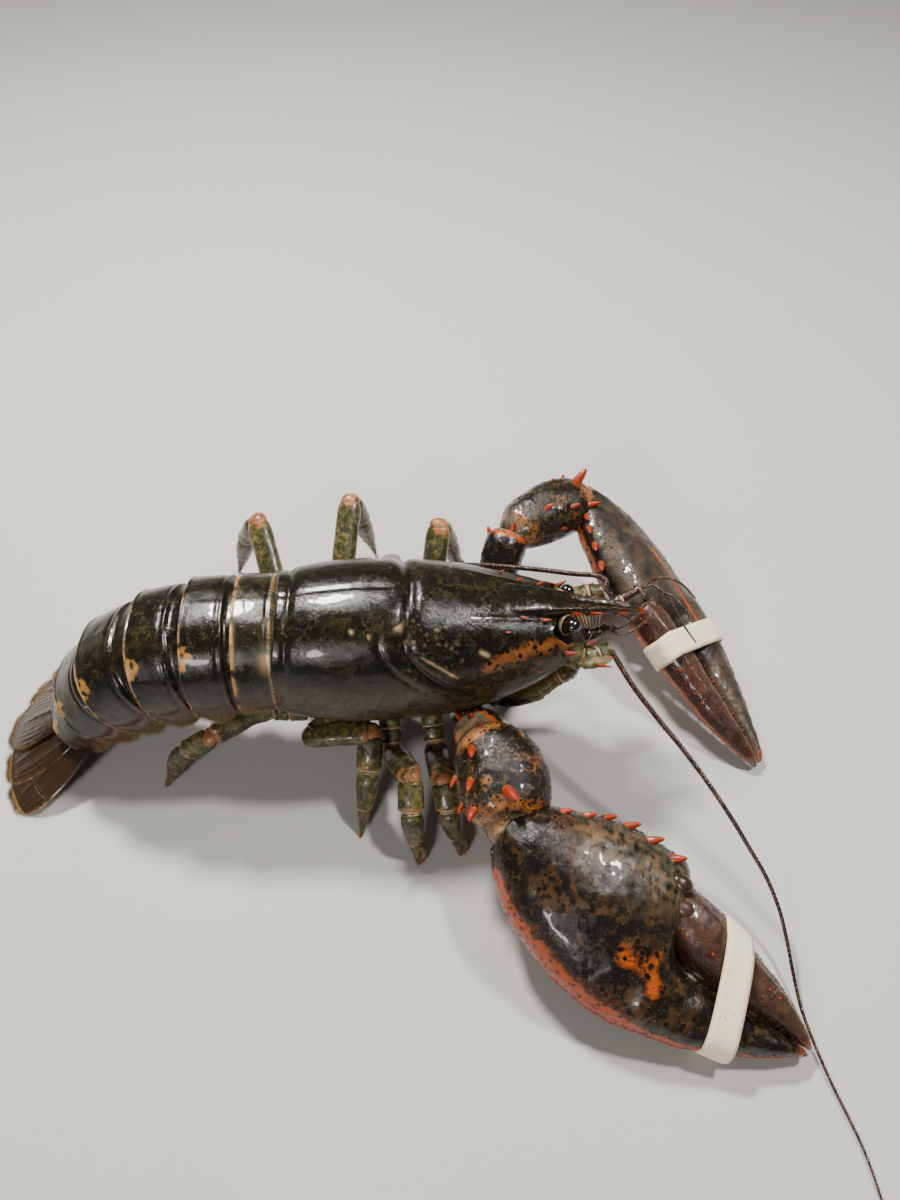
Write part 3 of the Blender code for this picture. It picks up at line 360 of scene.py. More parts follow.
def circle(lean, sides, along=None, squash=1):
    """A unit circle round a direction, from the way of along, in which it can be squashed or stretched."""
    if along is None:
        along = np.cross(lean, UP if abs(lean[2]) < 0.9 else (1, 0, 0))
    side = unit(along - lean * np.dot(lean, along))
    turn = full_turn(sides)[:, None]
    return side * np.cos(turn) * squash + np.cross(side, lean) * np.sin(turn)


def rings_along(path, width, height, shares, sides, up=UP, power=2):
    """Rounded rings along a path, unturned by its bends, with their shares, the angles round them and their rise."""
    path = path if callable(path) else path_through(path)
    shares = np.linspace(0, 1, shares) if isinstance(shares, int) else shares
    forward = heading(path, shares)
    aside = np.empty_like(forward)
    side = None
    for i, ahead in enumerate(forward):
        side = unit(np.cross(ahead, up) if side is None else side - ahead * side.dot(ahead))
        aside[i] = side
    rise = np.cross(aside, forward)
    turn = full_turn(sides)
    across, lift = rounded(turn, power)
    wide, high = read(width, shares)[:, None], read(height, shares)[:, None]
    rings = path(shares)[:, None] + aside[:, None] * (across * wide)[..., None]
    rings = rings + rise[:, None] * (lift * high)[..., None]
    return rings, shares[:, None], turn[None], rise


def heading(path, shares):
    """The direction of a path at shares of it."""
    return unit(path(np.minimum(shares + 0.01, 1)) - path(np.maximum(shares - 0.01, 0)))


def outward(rings):
    """The direction out of the surface at each point of a stack of rings."""
    around = np.roll(rings, -1, axis=1) - np.roll(rings, 1, axis=1)
    normals = unit(np.cross(around, np.gradient(rings, axis=0)))
    away = rings - rings.mean(axis=1, keepdims=True)
    return normals if (normals * away).sum() > 0 else -normals


def lumps(places, size, seed=0):
    """Smooth roughness from -1 to 1 at an array of places, with lumps of about the given size."""
    scaled = places / size + seed * 17.3
    cell = np.floor(scaled).astype(np.int64)
    part = scaled - cell
    part = part * part * (3 - 2 * part)
    total = np.zeros(places.shape[:-1])
    for corner in itertools.product((0, 1), repeat=3):
        key = (cell + np.array(corner)) @ np.array(HASH_PRIMES)
        key = ((key ^ (key >> 13)) * HASH_FACTOR) & 0x7FFFFFFF
        value = ((key ^ (key >> 16)) & 0xFFFF) / 32767.5 - 1
        total += value * np.prod(np.where(np.array(corner) == 1, part, 1 - part), axis=-1)
    return total


def roughened(rings, lumpy):
    """Rings pushed out by lumps, given as (height, size, seed)."""
    return rings + outward(rings) * sum(height * lumps(rings, size, seed) for height, size, seed in lumpy)[..., None]


# Meshes
class Shape:
    """Grids of rings gathered into one mesh, with the marks that its finish, bristles and grains read."""

    def __init__(self):
        self.places, self.faces, self.count = [], ([], []), 0
        self.fields = {key: [] for key in FIELDS}

    def grid(self, rings, marks=(), hair=0, lie=0, grain=0, centres=None):
        """Adds a stack of rings as a closed skin. marks holds warm, pale, spine and dark shares at each point."""
        rows, sides = rings.shape[:2]
        total = rows * sides
        places = np.concatenate((rings.reshape(-1, 3), rings[[0, -1]].mean(axis=1) if centres is None else centres))
        row, s = (index.ravel() for index in np.indices((rows - 1, sides)))
        steps = ((0, 0), (0, 1), (1, 1), (1, 0))
        quads = np.stack([(row + on) * sides + (s + by) % sides for on, by in steps], axis=1)
        quad_uvs = np.stack([np.stack(((s + by) / sides, (row + on) / (rows - 1)), 1) for on, by in steps], axis=1)
        s, last = np.arange(sides), total - sides
        t, hub = (s + 1) % sides, np.full(sides, total)
        fans = np.concatenate((np.stack((t, s, hub), 1), np.stack((last + s, last + t, hub + 1), 1)))
        aside = [np.tile(s, 2) + np.repeat(step, sides) for step in ((1, 0), (0, 1), (0, 0))]
        fan_uvs = np.stack([np.stack((part / sides, np.repeat((0, 1), sides)), 1) for part in aside], axis=1)
        middle = rings.reshape(-1, 3).mean(axis=0)
        first, second, third, fourth = (places[quads[:, i]] - middle for i in range(4))
        flip = -1 if (first * (np.cross(second, third) + np.cross(third, fourth))).sum() < 0 else 1
        for kept, faces, uvs in zip(self.faces, (quads, fans), (quad_uvs, fan_uvs)):
            kept.append((faces[:, ::flip] + self.count, uvs[:, ::flip], len(self.places)))
        if not isinstance(marks, np.ndarray):
            marks = marks_of(rings, *marks)
        for (key, (size, *_)), value in zip(FIELDS.items(), (marks, hair, grain, lie)):
            full = np.zeros((rows, sides, size))
            full[:] = np.asarray(value, float)[..., None] if size == 1 else value
            self.fields[key].append(np.concatenate((full.reshape(-1, size), full[[0, -1]].mean(axis=1))))
        self.places.append(places)
        self.count += total + 2

    def stud(self, root, lean, heights, girths, around, marks, swept=0):
        """Adds rings that stand on a place along a direction."""
        centres = np.asarray(root, float) + np.outer(heights, lean) + swept
        self.grid(centres[:, None] + around * girths[:, None, None], marks)

    def spine(self, root, lean, length, radius, bend=(0, 0, 0), tint=1, sides=9, warm=0, pale=0, blunt=0):
        """Adds a spine with a flared root, fine or blunt at its tip, bent towards bend."""
        lean = unit(lean)
        shares, sharp, round_tipped = np.array(SPINE_PROFILE).T
        girths = (sharp + (round_tipped - sharp) * blunt) * radius
        swept = np.outer(np.maximum(shares, 0) ** 2 * length, bend)
        pale = pale + 0.3 * ease(shares, 0.75, 1)[:, None] * tint
        marks = (warm, pale, ease(shares, -0.1, 0.22)[:, None] * tint)
        self.stud(root, lean, shares * length, girths, circle(lean, sides), marks, swept)

    def knob(self, root, lean, height, radius, tint=0.5, pale=0, sides=12, squash=1, along=None):
        """Adds a rounded knob, longer in one direction where squash and along say so."""
        lean = unit(lean)
        shares, girths = np.array(KNOB_PROFILE).T
        marks = (0, pale, ease(shares, 0, 0.6)[:, None] * tint)
        self.stud(root, lean, shares * height, girths * radius, circle(lean, sides, along, squash), marks)

    def finish(self, name, finish, replaced="", slot=None, kept=True):
        """Makes the mesh object, in metres in the model's frame, and sets it to stand for its solids."""
        mesh = bpy.data.meshes.new(name)
        places = (np.concatenate(self.places) + MODEL_SHIFT) * MM
        parts = self.faces[0] + self.faces[1]
        mesh.from_pydata(places.tolist(), [], [face for faces, _, _ in parts for face in faces.tolist()])
        table = math.ceil(math.sqrt(len(self.places)))
        uvs = []
        for _, values, patch in parts:
            cell = np.array((patch % table, patch // table))
            uvs.append(((values * (1 - 2 * UV_MARGIN) + UV_MARGIN + cell) / table).ravel())
        mesh.uv_layers.new(name="UVMap").data.foreach_set("uv", np.concatenate(uvs).astype(np.float32))
        for key, (_, kind, field) in FIELDS.items():
            values = np.concatenate(self.fields[key])
            if key == "marks" or values.any():
                attribute = mesh.attributes.new(key, kind, "POINT")
                attribute.data.foreach_set(field, np.clip(values, -1, 1).astype(np.float32).ravel())
        mesh.polygons.foreach_set("use_smooth", np.ones(len(mesh.polygons), bool))
        mesh.materials.append(finish_of(finish))
        mesh.update()
        made = new_object(name, mesh)
        return settle(made, replaced) if kept else made


def new_object(name, data):
    """An object of the scene."""
    made = bpy.data.objects.new(name, data)
    bpy.context.scene.collection.objects.link(made)
    return made


def settle(piece, replaced=""):
    """Sets a finished piece on the body, in place of its solids."""
    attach(piece, "root")
    if replaced:
        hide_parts(*replaced.split())
    return piece


def marks_of(rings, warm=0, pale=0, spine=0, dark=0):
    """The four marks at each point of a stack of rings."""
    marks = np.zeros((*rings.shape[:2], 4))
    for index, value in enumerate((warm, pale, spine, dark)):
        marks[..., index] = value
    return np.clip(marks, 0, 1)


# Node trees
def put(socket, value):
    """Sets a socket to a value, or links a wire to it."""
    if isinstance(value, Wire):
        socket.id_data.links.new(value.socket, socket)
    else:
        socket.default_value = (*value, 1) if socket.type == "RGBA" and len(value) == 3 else value


class Wire:
    """A socket whose arithmetic adds Math nodes to its tree."""

    def __init__(self, nodes, socket):
        self.nodes, self.socket = nodes, socket

    def math(self, operation, *values):
        return self.nodes.add("ShaderNodeMath", dict(enumerate(values)), operation=operation)

    def __add__(self, other):
        return self.math("ADD", self, other)

    def __sub__(self, other):
        return self.math("SUBTRACT", self, other)

    def __rsub__(self, other):
        return self.math("SUBTRACT", other, self)

    def __mul__(self, other):
        return self.math("MULTIPLY", self, other)

    __radd__ = __add__
    __rmul__ = __mul__

    def beside(self, output):
        """Another output of the same node."""
        return Wire(self.nodes, self.socket.node.outputs[output])

    def step(self, low, high):
        """0 at low and 1 at high with a smooth step between, or the other way round where low is the larger."""
        bounds = (high, low, 1, 0) if low > high else (low, high, 0, 1)
        values = {"Value": self, **dict(zip(("From Min", "From Max", "To Min", "To Max"), bounds))}
        return self.nodes.add("ShaderNodeMapRange", values, "Result", interpolation_type="SMOOTHSTEP")


class Nodes:
    """A node tree in the making."""

    def __init__(self, tree):
        self.tree = tree

    def add(self, kind, values, output=0, **settings):
        """Adds a node with its settings, then its sockets' values or wires, and gives one of its outputs."""
        node = self.tree.nodes.new(kind)
        for key, value in settings.items():
            setattr(node, key, value)
        for key, value in values.items():
            put(node.inputs[key], value)
        return Wire(self, node.outputs[output] if len(node.outputs) else None)

    def vector(self, operation, first, second):
        """Vector arithmetic, with a number as the second value of a SCALE."""
        values = {0: first, "Scale" if operation == "SCALE" else 1: second}
        return self.add("ShaderNodeVectorMath", values, operation=operation)


# Finishes
class Finish(Nodes):
    """A material in the making, whose patterns read the piece's own place in millimetres and its marks."""

    def __init__(self, name, coat=0, coat_roughness=0.1, specular=0.5):
        self.material = bpy.data.materials.new(name)
        self.material.use_nodes = True
        super().__init__(self.material.node_tree)
        self.shader = self.tree.nodes["Principled BSDF"].inputs
        put(self.shader["Coat Weight"], coat)
        put(self.shader["Coat Roughness"], coat_roughness)
        put(self.shader["Specular IOR Level"], specular)
        self.place = self.vector("SCALE", self.add("ShaderNodeTexCoord", {}, "Object"), 1 / MM)
        self.height = self.add("ShaderNodeSeparateXYZ", {0: self.place}, "Z")
        marks = self.add("ShaderNodeAttribute", {}, "Color", attribute_name="marks")
        self.warm = self.add("ShaderNodeSeparateColor", {0: marks})
        self.pale, self.spine, self.dark = self.warm.beside(1), self.warm.beside(2), marks.beside("Alpha")
        self.normal = None

    def noise(self, scale, detail=3, roughness=0.5, distortion=0):
        values = {"Vector": self.place, "Scale": scale, "Detail": detail, "Roughness": roughness}
        return self.add("ShaderNodeTexNoise", {**values, "Distortion": distortion})

    def cells(self, scale, randomness=1):
        values = {"Vector": self.place, "Scale": scale, "Randomness": randomness}
        return self.add("ShaderNodeTexVoronoi", values, "Distance")

    def mix(self, share, first, second):
        return self.add("ShaderNodeMix", {0: share, 6: first, 7: second}, 2, data_type="RGBA")

    def bump(self, height, strength, distance):
        values = {"Height": height, "Strength": strength, "Distance": distance * MM}
        self.normal = self.add("ShaderNodeBump", {**values, **({"Normal": self.normal} if self.normal else {})})

    def done(self, colour, roughness, coat=None):
        wired = {"Base Color": colour, "Roughness": roughness, "Coat Weight": coat, "Normal": self.normal}
        for key, wire in wired.items():
            if wire is not None:
                put(self.shader[key], wire)
        return self.material


def darker(tone, share):
    """A share of a colour."""
    return tuple(part * share for part in tone)


def shell_finish(name, tones, flank=None, rusty=0, leopard=0, mottle=0.5, gloss=0.07, pitted=0.42, scale=1):
    """Wet horny shell: dark with olive mottles, rust patches, black spots, warm margins and coloured spines."""
    dark, olive, light, warm, pale, tip = tones
    made = Finish(name, 0.25, 0.05, 0.27)
    broad = made.noise(0.05 * scale, 4, 0.55, 0.4)
    patch = made.noise(0.24 * scale, 5, 0.6, 0.5)
    speck = made.noise(1.7 * scale, 3, 0.65)
    grit = made.noise(6, 2, 0.6)
    colour = made.mix((broad * 0.5 + patch * 0.7).step(0.52, 0.78), dark, olive)
    colour = made.mix((patch * 0.45 + speck * 0.65).step(0.58, 0.7) * mottle, colour, light)
    if flank:
        low, high, tone = flank
        sunk = (made.height + patch * 16).step(high, low)
        colour = made.mix(sunk * (0.55 + speck * 0.5), colour, tone)
    if rusty:
        patches = (broad * 0.5 + patch * 0.8 + speck * 0.35).step(0.84, 1.02) * rusty
        colour = made.mix(patches, colour, darker(warm, 0.3))
    warmth = (made.warm + (patch - 0.5) * 0.9 + (speck - 0.5) * 0.5).step(0.3, 0.66) * made.warm.step(0.02, 0.25)
    colour = made.mix(warmth, colour, made.mix(speck.step(0.35, 0.65), warm, darker(warm, 0.55)))
    spots = (made.cells(0.4 * scale) + (speck - 0.5) * 0.45).step(0.42, 0.3)
    colour = made.mix(spots * leopard, colour, dark)
    colour = made.mix(made.cells(1.15 * scale).step(0.26, 0.14) * 0.5, colour, dark)
    joint = made.mix(made.noise(0.16, 2).step(0.5, 0.6) * 0.8, pale, JOINT_TEAL)
    colour = made.mix(made.pale * (0.75 + patch * 0.4).step(0, 1), colour, joint)
    colour = made.mix(made.spine * (0.8 + speck * 0.3).step(0, 1), colour, tip)
    # Darkens where the dark mark says: painted shade in the grooves of the carapace, beak and abdomen, and dark patches
    # on the claws and tail fan
    colour = made.mix(made.dark, colour, darker(dark, 0.35))
    made.bump(patch, 0.14, 0.8)
    made.bump(made.cells(0.85).step(0.2, 0.05) * -1 + speck * 0.8, pitted, 0.3)
    made.bump(grit, 0.25, 0.1)
    return made.done(colour, gloss + speck * 0.08 + grit * 0.08 + made.pale * 0.18, 0.06 + broad * 0.3)


def flesh_finish(name, tone, deep):
    """Soft membrane: wrinkled and veined, with a wet sheen."""
    made = Finish(name, 0.35, 0.2)
    patch = made.noise(0.3, 4, 0.6)
    wrinkle = made.noise(1.4, 3, 0.6, 1.2)
    colour = made.mix((patch * 0.7 + wrinkle * 0.4).step(0.42, 0.72), deep, tone)
    colour = made.mix(made.dark, colour, darker(deep, 0.3))
    put(made.shader["Subsurface Weight"], 0.12)
    put(made.shader["Subsurface Scale"], 0.002)
    made.bump(wrinkle, 0.6, 0.4)
    return made.done(colour, 0.38 + wrinkle * 0.2)


def eye_finish(name, tone):
    """Dark glassy eye with fine facets and a brown glow round its rim."""
    made = Finish(name, 1, 0.03, 0.7)
    facets = made.cells(9, 0.15)
    glow = made.noise(0.8, 3)
    colour = made.mix(glow.step(0.45, 0.75) * 0.6, tone, tuple(min(1, part * 3 + 0.004) for part in tone))
    colour = made.mix(made.pale, colour, EYE_RIM)
    made.bump(facets * -1, 0.12, 0.05)
    return made.done(colour, 0.1 + facets * 0.12)


def rubber_finish(name, tone):
    """Off-white rubber, dusty and scuffed, browned a little in its creases and at its edges."""
    made = Finish(name, 0, 0.2, 0.35)
    broad = made.noise(0.12, 4, 0.6, 0.6)
    fine = made.noise(1.1, 4, 0.7)
    scuff = made.noise(0.5, 5, 0.75, 2)
    stained = tuple(part * shade for part, shade in zip(tone, (0.72, 0.66, 0.52)))
    colour = made.mix((broad * 0.6 + fine * 0.5).step(0.45, 0.78), tone, darker(tone, 0.9))
    colour = made.mix((scuff * 0.9 + made.warm * 0.5).step(0.56, 0.8) * 0.7, colour, stained)
    colour = made.mix(made.cells(0.3).step(0.16, 0.05) * 0.7, colour, darker(stained, 0.35))
    made.bump(broad, 0.35, 0.5)
    made.bump(fine, 0.25, 0.12)
    return made.done(colour, 0.52 + fine * 0.2)


def bristle_finish(name, tone):
    """Fine horny bristles, paler towards some tufts."""
    made = Finish(name, 0, 0.2, 0.3)
    fine = made.noise(3, 2)
    colour = made.mix((made.noise(0.5, 2) * 0.6 + fine * 0.5).step(0.4, 0.7), darker(tone, 0.45), tone)
    return made.done(colour, 0.45 + fine * 0.2)


def finish_of(name):
    """The named finish, made once from the scene's colours."""
    full = "lobster_" + name
    if full in bpy.data.materials:
        return bpy.data.materials[full]

    def look(key):
        return tuple(getattr(bpy.context.scene.lobster_colours, key)) if isinstance(key, str) else key

    if name in SHELLS:
        tones = [look(key) for key in (*SHELLS[name][:SHELL_TONES], "membrane", "spine")]
        flank, *rest = SHELLS[name][SHELL_TONES:]
        return shell_finish(full, tones, flank and (*flank[:2], look(flank[2])), *rest)
    if name == "underside":
        return flesh_finish(full, look("membrane"), look("flesh_deep"))
    kinds = {"eye": (eye_finish, "eye"), "rubber_band": (rubber_finish, "band"), "bristle": (bristle_finish, "bristle")}
    kind, key = kinds[name]
    return kind(full, look(key))


# Trees of Geometry Nodes
class Tree(Nodes):
    """A Geometry Nodes tree with named inputs, for a modifier that is applied at once."""

    def __init__(self, name, numbers):
        super().__init__(bpy.data.node_groups.new(name, "GeometryNodeTree"))
        inputs = {"Geometry": "Geometry", **dict.fromkeys(numbers, "Float"), "Seed": "Int", "Material": "Material"}
        for key, kind in inputs.items():
            self.tree.interface.new_socket(key, in_out="INPUT", socket_type="NodeSocket" + kind)
        self.tree.interface.new_socket("Geometry", in_out="OUTPUT", socket_type="NodeSocketGeometry")
        source = self.tree.nodes.new("NodeGroupInput")
        self.given = {socket.name: Wire(self, socket) for socket in source.outputs if socket.name}

    def field(self, name, kind="FLOAT_VECTOR"):
        """A named attribute of the surface."""
        return self.add("GeometryNodeInputNamedAttribute", {"Name": name}, "Attribute", data_type=kind)

    def random(self, low, high):
        """A random number for each point."""
        values = {2: low, 3: high, "Seed": self.given["Seed"]}
        return self.add("FunctionNodeRandomValue", values, 1, data_type="FLOAT")

    def end(self, geometry):
        geometry = self.add("GeometryNodeSetMaterial", {"Geometry": geometry, "Material": self.given["Material"]})
        self.add("NodeGroupOutput", {0: geometry})
        return self.tree


def bristle_tree():
    """Bristles on a surface where its hair mark grows them, leaning the way that its lie mark says."""
    made = Tree("lobster_bristles", ("Density", "Length", "Thickness"))
    give, add, vector = made.given, made.add, made.vector
    hair = made.field("hair", "FLOAT")
    values = {"Mesh": give["Geometry"], "Density": give["Density"] * hair, "Seed": give["Seed"]}
    points = add("GeometryNodeDistributePointsOnFaces", values, "Points")
    normal = points.beside("Normal")
    values = {"Geometry": points, "Name": "root_uv", "Value": made.field("UVMap")}
    points = add("GeometryNodeStoreNamedAttribute", values, data_type="FLOAT_VECTOR", domain="POINT")
    values = {0: (-BRISTLE_STRAY,) * 3, 1: (BRISTLE_STRAY,) * 3, "Seed": give["Seed"]}
    jitter = add("FunctionNodeRandomValue", values, data_type="FLOAT_VECTOR")
    aim = vector("ADD", vector("ADD", made.field("lie"), jitter), vector("SCALE", normal, 0.35))
    turn = add("FunctionNodeAlignRotationToVector", {"Vector": aim}, axis="Z")
    sizes = {"Radius Top": 0.00001, "Radius Bottom": give["Thickness"], "Depth": give["Length"]}
    cone = add("GeometryNodeMeshCone", {"Vertices": 3, "Side Segments": 1, **sizes}, fill_type="NONE")
    size = made.random(0.55, 1.15) * (hair * 0.5 + 0.5)
    tufts = {"Points": points, "Instance": cone, "Rotation": turn, "Scale": size}
    mesh = add("GeometryNodeRealizeInstances", {"Geometry": add("GeometryNodeInstanceOnPoints", tufts)})
    index = add("GeometryNodeInputIndex", {})
    first, second = (wire.math("FRACT", wire) for wire in (index * step for step in BAKE_STEPS))
    offset = vector("SCALE", add("ShaderNodeCombineXYZ", {0: first, 1: second}), BAKE_PATCH)
    patch = vector("ADD", made.field("root_uv"), offset)
    values = {"Geometry": mesh, "Name": "OFBake", "Value": patch}
    mesh = add("GeometryNodeStoreNamedAttribute", values, data_type="FLOAT2", domain="CORNER")
    return made.end(add("GeometryNodeRemoveAttribute", {"Geometry": mesh, "Name": "root_uv"}))


def grain_tree():
    """Low grains on a surface where its grain mark says, which keep the marks of the place they stand on."""
    made = Tree("lobster_grains", ("Density", "Size"))
    give, add = made.given, made.add
    values = {"Mesh": give["Geometry"], "Distance Min": give["Size"], "Density Max": give["Density"]}
    values.update({"Density Factor": made.field("grain", "FLOAT"), "Seed": give["Seed"]})
    points = add("GeometryNodeDistributePointsOnFaces", values, "Points", distribute_method="POISSON")
    ball = add("GeometryNodeMeshUVSphere", {"Radius": give["Size"], "Segments": 8, "Rings": 5})
    size = made.random(0.35, 1)
    flat = add("ShaderNodeCombineXYZ", {0: size, 1: size, 2: size * 0.55})
    values = {"Points": points, "Instance": ball, "Rotation": points.beside("Rotation"), "Scale": flat}
    mesh = add("GeometryNodeRealizeInstances", {"Geometry": add("GeometryNodeInstanceOnPoints", values)})
    return made.end(add("GeometryNodeSetShadeSmooth", {"Geometry": mesh}))


def evaluated(item):
    """The mesh that an object's modifiers make."""
    bpy.context.view_layer.update()
    return bpy.data.meshes.new_from_object(item.evaluated_get(bpy.context.evaluated_depsgraph_get()))


def grow(name, surface, group, inputs, finish):
    """Runs a tree on a piece's surface and keeps what it grows as a mesh piece of its own."""
    tree = bpy.data.node_groups.get("lobster_" + group) or {"bristles": bristle_tree, "grains": grain_tree}[group]()
    helper = new_object(name, surface.data.copy())
    modifier = helper.modifiers.new("grow", "NODES")
    modifier.node_group = tree
    named = {item.name: item.identifier for item in tree.interface.items_tree if item.in_out == "INPUT"}
    for key, value in {**inputs, "Material": finish_of(finish)}.items():
        modifier[named[key]] = value
    grown = evaluated(helper)
    bpy.data.objects.remove(helper)
    if not grown.polygons:
        raise RuntimeError(f"{name} grew nothing")
    grown.name = name
    places = np.empty(len(grown.vertices) * 3, np.float32)
    grown.vertices.foreach_get("co", places)
    places[2::3] = np.maximum(places[2::3], FLOOR_GAP * MM)
    grown.vertices.foreach_set("co", places)
    for uv in [layer for layer in grown.uv_layers if layer.name != "OFBake" and "OFBake" in grown.uv_layers]:
        grown.uv_layers.remove(uv)
    settle(new_object(name, grown), "")


def bristles(name, surface, density, length, thickness, seed):
    """Bristles on a piece, in millimetres, with their number for each square millimetre."""
    density = density * PER_SQUARE_METRE * bpy.context.scene.lobster_sizes.bristle_share
    inputs = {"Density": density, "Length": length * MM, "Thickness": thickness * MM, "Seed": seed}
    grow("bristles_" + name, surface, "bristles", inputs, "bristle")


def grains(name, surface, density, size, seed, finish):
    """Grains on a piece, in millimetres, with their number for each square millimetre."""
    inputs = {"Density": density * PER_SQUARE_METRE, "Size": size * MM, "Seed": seed}
    grow("grains_" + name, surface, "grains", inputs, finish)


# Carapace
HALF_WIDTH_AT = through([(-58, 25.5), (-48, 28), (-30, 31), (-5, 31), (20, 28.5), (40, 24), (54, 19), (64, 14)])
TOP_AT = through([(-58, 86), (-48, 89.5), (-30, 92), (-8, 92.5), (15, 89.5), (35, 84.5), (54, 79), (64, 76.5)])
BOTTOM_AT = through([(-58, 41), (-45, 35.5), (-20, 33), (5, 33), (25, 37), (40, 44), (54, 54), (64, 59)])
MIDDLE_AT = through([(-58, 62), (0, 60), (40, 62), (64, 67)])
REAR_EDGE_AT = through([(0, -50), (60, -52.5), (95, -56), (130, -56), (158, -49), (180, -44)])
FRONT_EDGE_AT = through([(0, 57), (22, 54), (38, 52), (58, 57), (74, 60), (95, 54), (125, 40), (155, 28), (180, 24)])
NECK_GROOVE_AT = through([(0, -1), (25, -2), (45, -4), (62, 1), (82, 13), (100, 27)])


def carapace_at(x, angle):
    """Places on the carapace, at angles in degrees from the middle of the back."""
    turn = np.abs(angle)
    up, across = rounded(np.radians(angle), 2.2)
    middle = MIDDLE_AT(x)
    reach = np.where(up > 0, TOP_AT(x) - middle, middle - BOTTOM_AT(x))
    sunk = np.where(turn < 100, 1.6 * hump(x, NECK_GROOVE_AT(turn), 2.6), 0)
    sunk = sunk + 0.5 * hump(x, NECK_GROOVE_AT(turn) - 9, 1.4) * ease(turn, 28, 45) * ease(turn, 92, 70)
    sunk = sunk + 0.9 * hump(x, REAR_EDGE_AT(turn) + 4.5, 1.5)
    sunk = sunk + 0.35 * hump(angle, 0, 1.1) * ease(x, 2, -6)
    sunk = sunk - 0.5 * hump(turn, 24 - x * 0.08, 2.4) * ease(x, 18, 34)
    shrink = 1 - sunk / 30
    return np.stack((x, across * HALF_WIDTH_AT(x) * shrink, middle + up * reach * shrink), axis=-1)


def build_carapace():
    """The carapace with its grooves, rims, beak, eye sockets and spines."""
    shape = Shape()
    rows, sides = 200, 280
    share = np.linspace(0, 1, rows)[:, None]
    angle = (360 * np.arange(sides) / sides - 180)[None]
    turn = np.abs(angle)
    x = REAR_EDGE_AT(turn) * (1 - share) + FRONT_EDGE_AT(turn) * share
    rings = carapace_at(x, angle)
    out = outward(rings)
    rough = 0.22 * lumps(rings, 11) + 0.12 * lumps(rings, 4.3, 1) + 0.05 * lumps(rings, 1.7, 2)
    rough = rough * (0.6 + 0.6 * ease(x, 5, 45)) + 0.25 * hump(share, 1, 0.012) + 0.3 * hump(share, 0, 0.012)
    rough = rough - 1.6 * ease(x, 48, 57) * ease(turn, 30, 18)
    rings = rings + out * rough[..., None]
    mirrored = np.stack((rings[..., 0], np.abs(rings[..., 1]), rings[..., 2]), axis=-1)
    warm = 0.66 * close_to(mirrored, CHEEK_LINE, 4.4)
    warm = warm + 0.3 * hump(x, 44, 12) * hump(turn, 78, 14) + 0.25 * hump(share, 0, 0.02)
    # Painted shade: groove darkens the shell along the dent of the neck groove, where shade falls
    groove = hump(x, NECK_GROOVE_AT(turn), 1.5) * (turn < 100)
    olive = hump(x, NECK_GROOVE_AT(turn) + 9, 13) * ease(turn, 12, 30) * ease(turn, 95, 75)
    pale = 0.3 * olive * ease(lumps(rings, 1.7, 7) + 0.6 * lumps(rings, 0.8, 8), 0.3, 0.8)
    for spot, reach in CREAM_SPOTS:
        pale = pale + 0.85 * hump(np.linalg.norm(rings - np.array(spot), axis=-1), 0, reach)
    pale = pale * ease(lumps(rings, 1.3, 5), -0.5, 0.2)
    for share_of_pale, line, reach in CREAM_LINES:
        pale = pale + share_of_pale * close_to(rings, line, reach)
    marks = np.pad(marks_of(rings, warm, pale, 0, 0.6 * groove), ((2, 2), (0, 0), (0, 0)), mode="edge")
    rear_lip = np.stack((rings[0] - out[0] * 1.3 + (5, 0, 0), rings[0] - out[0] + (0.4, 0, 0)))
    front_lip = np.stack((rings[-1] - out[-1] - (0.4, 0, 0), rings[-1] - out[-1] * 1.4 - (6, 0, 0)))
    rings = np.concatenate((rear_lip, rings, front_lip))
    hair = 0.9 * ease(turn, 150, 164) * ease(turn, 179, 170)
    shape.grid(rings, marks, hair, (0.5, 0, -0.9), 0, ((-44, 0, 60), (36, 0, 62)))
    add_rostrum(shape)
    size = bpy.context.scene.lobster_sizes.spine_share
    for hand in (-1, 1):
        for x, aside, z, big in ((61.5, 4.9, 78.3, 1), (69, 3.9, 77, 1.1), (80, 2.5, 74.8, 1)):
            root = (x - 2.2, (aside - 0.5) * hand, z - 0.5)
            shape.spine(root, (1, 0.2 * hand, 0.02), 4.6 * big * size, 0.85 * big, (0, 0, 0.08), 1, 12, 0, 0, 0.6)
        for x, angle, big in ((48, 22, 0.9), (57, 74, 1.2), (40, 20, 0.7), (34, 34, 0.5), (46, 84, 0.5)):
            root = carapace_at(np.array(float(x)), np.array(float(angle * hand)))
            lean = (1, 0.3 * hand, 0.3)
            shape.spine(root, lean, 4 * big * size, 0.95 * big, (0, 0, 0.1), 0.9, 12, 0, 0, 0.35)
        add_socket(shape, hand)
    made = shape.finish("shell_carapace", "shell", "carapace", "shell")
    bristles("carapace", made, 3.5, 2.6, 0.05, BRISTLE_SEEDS["carapace"])


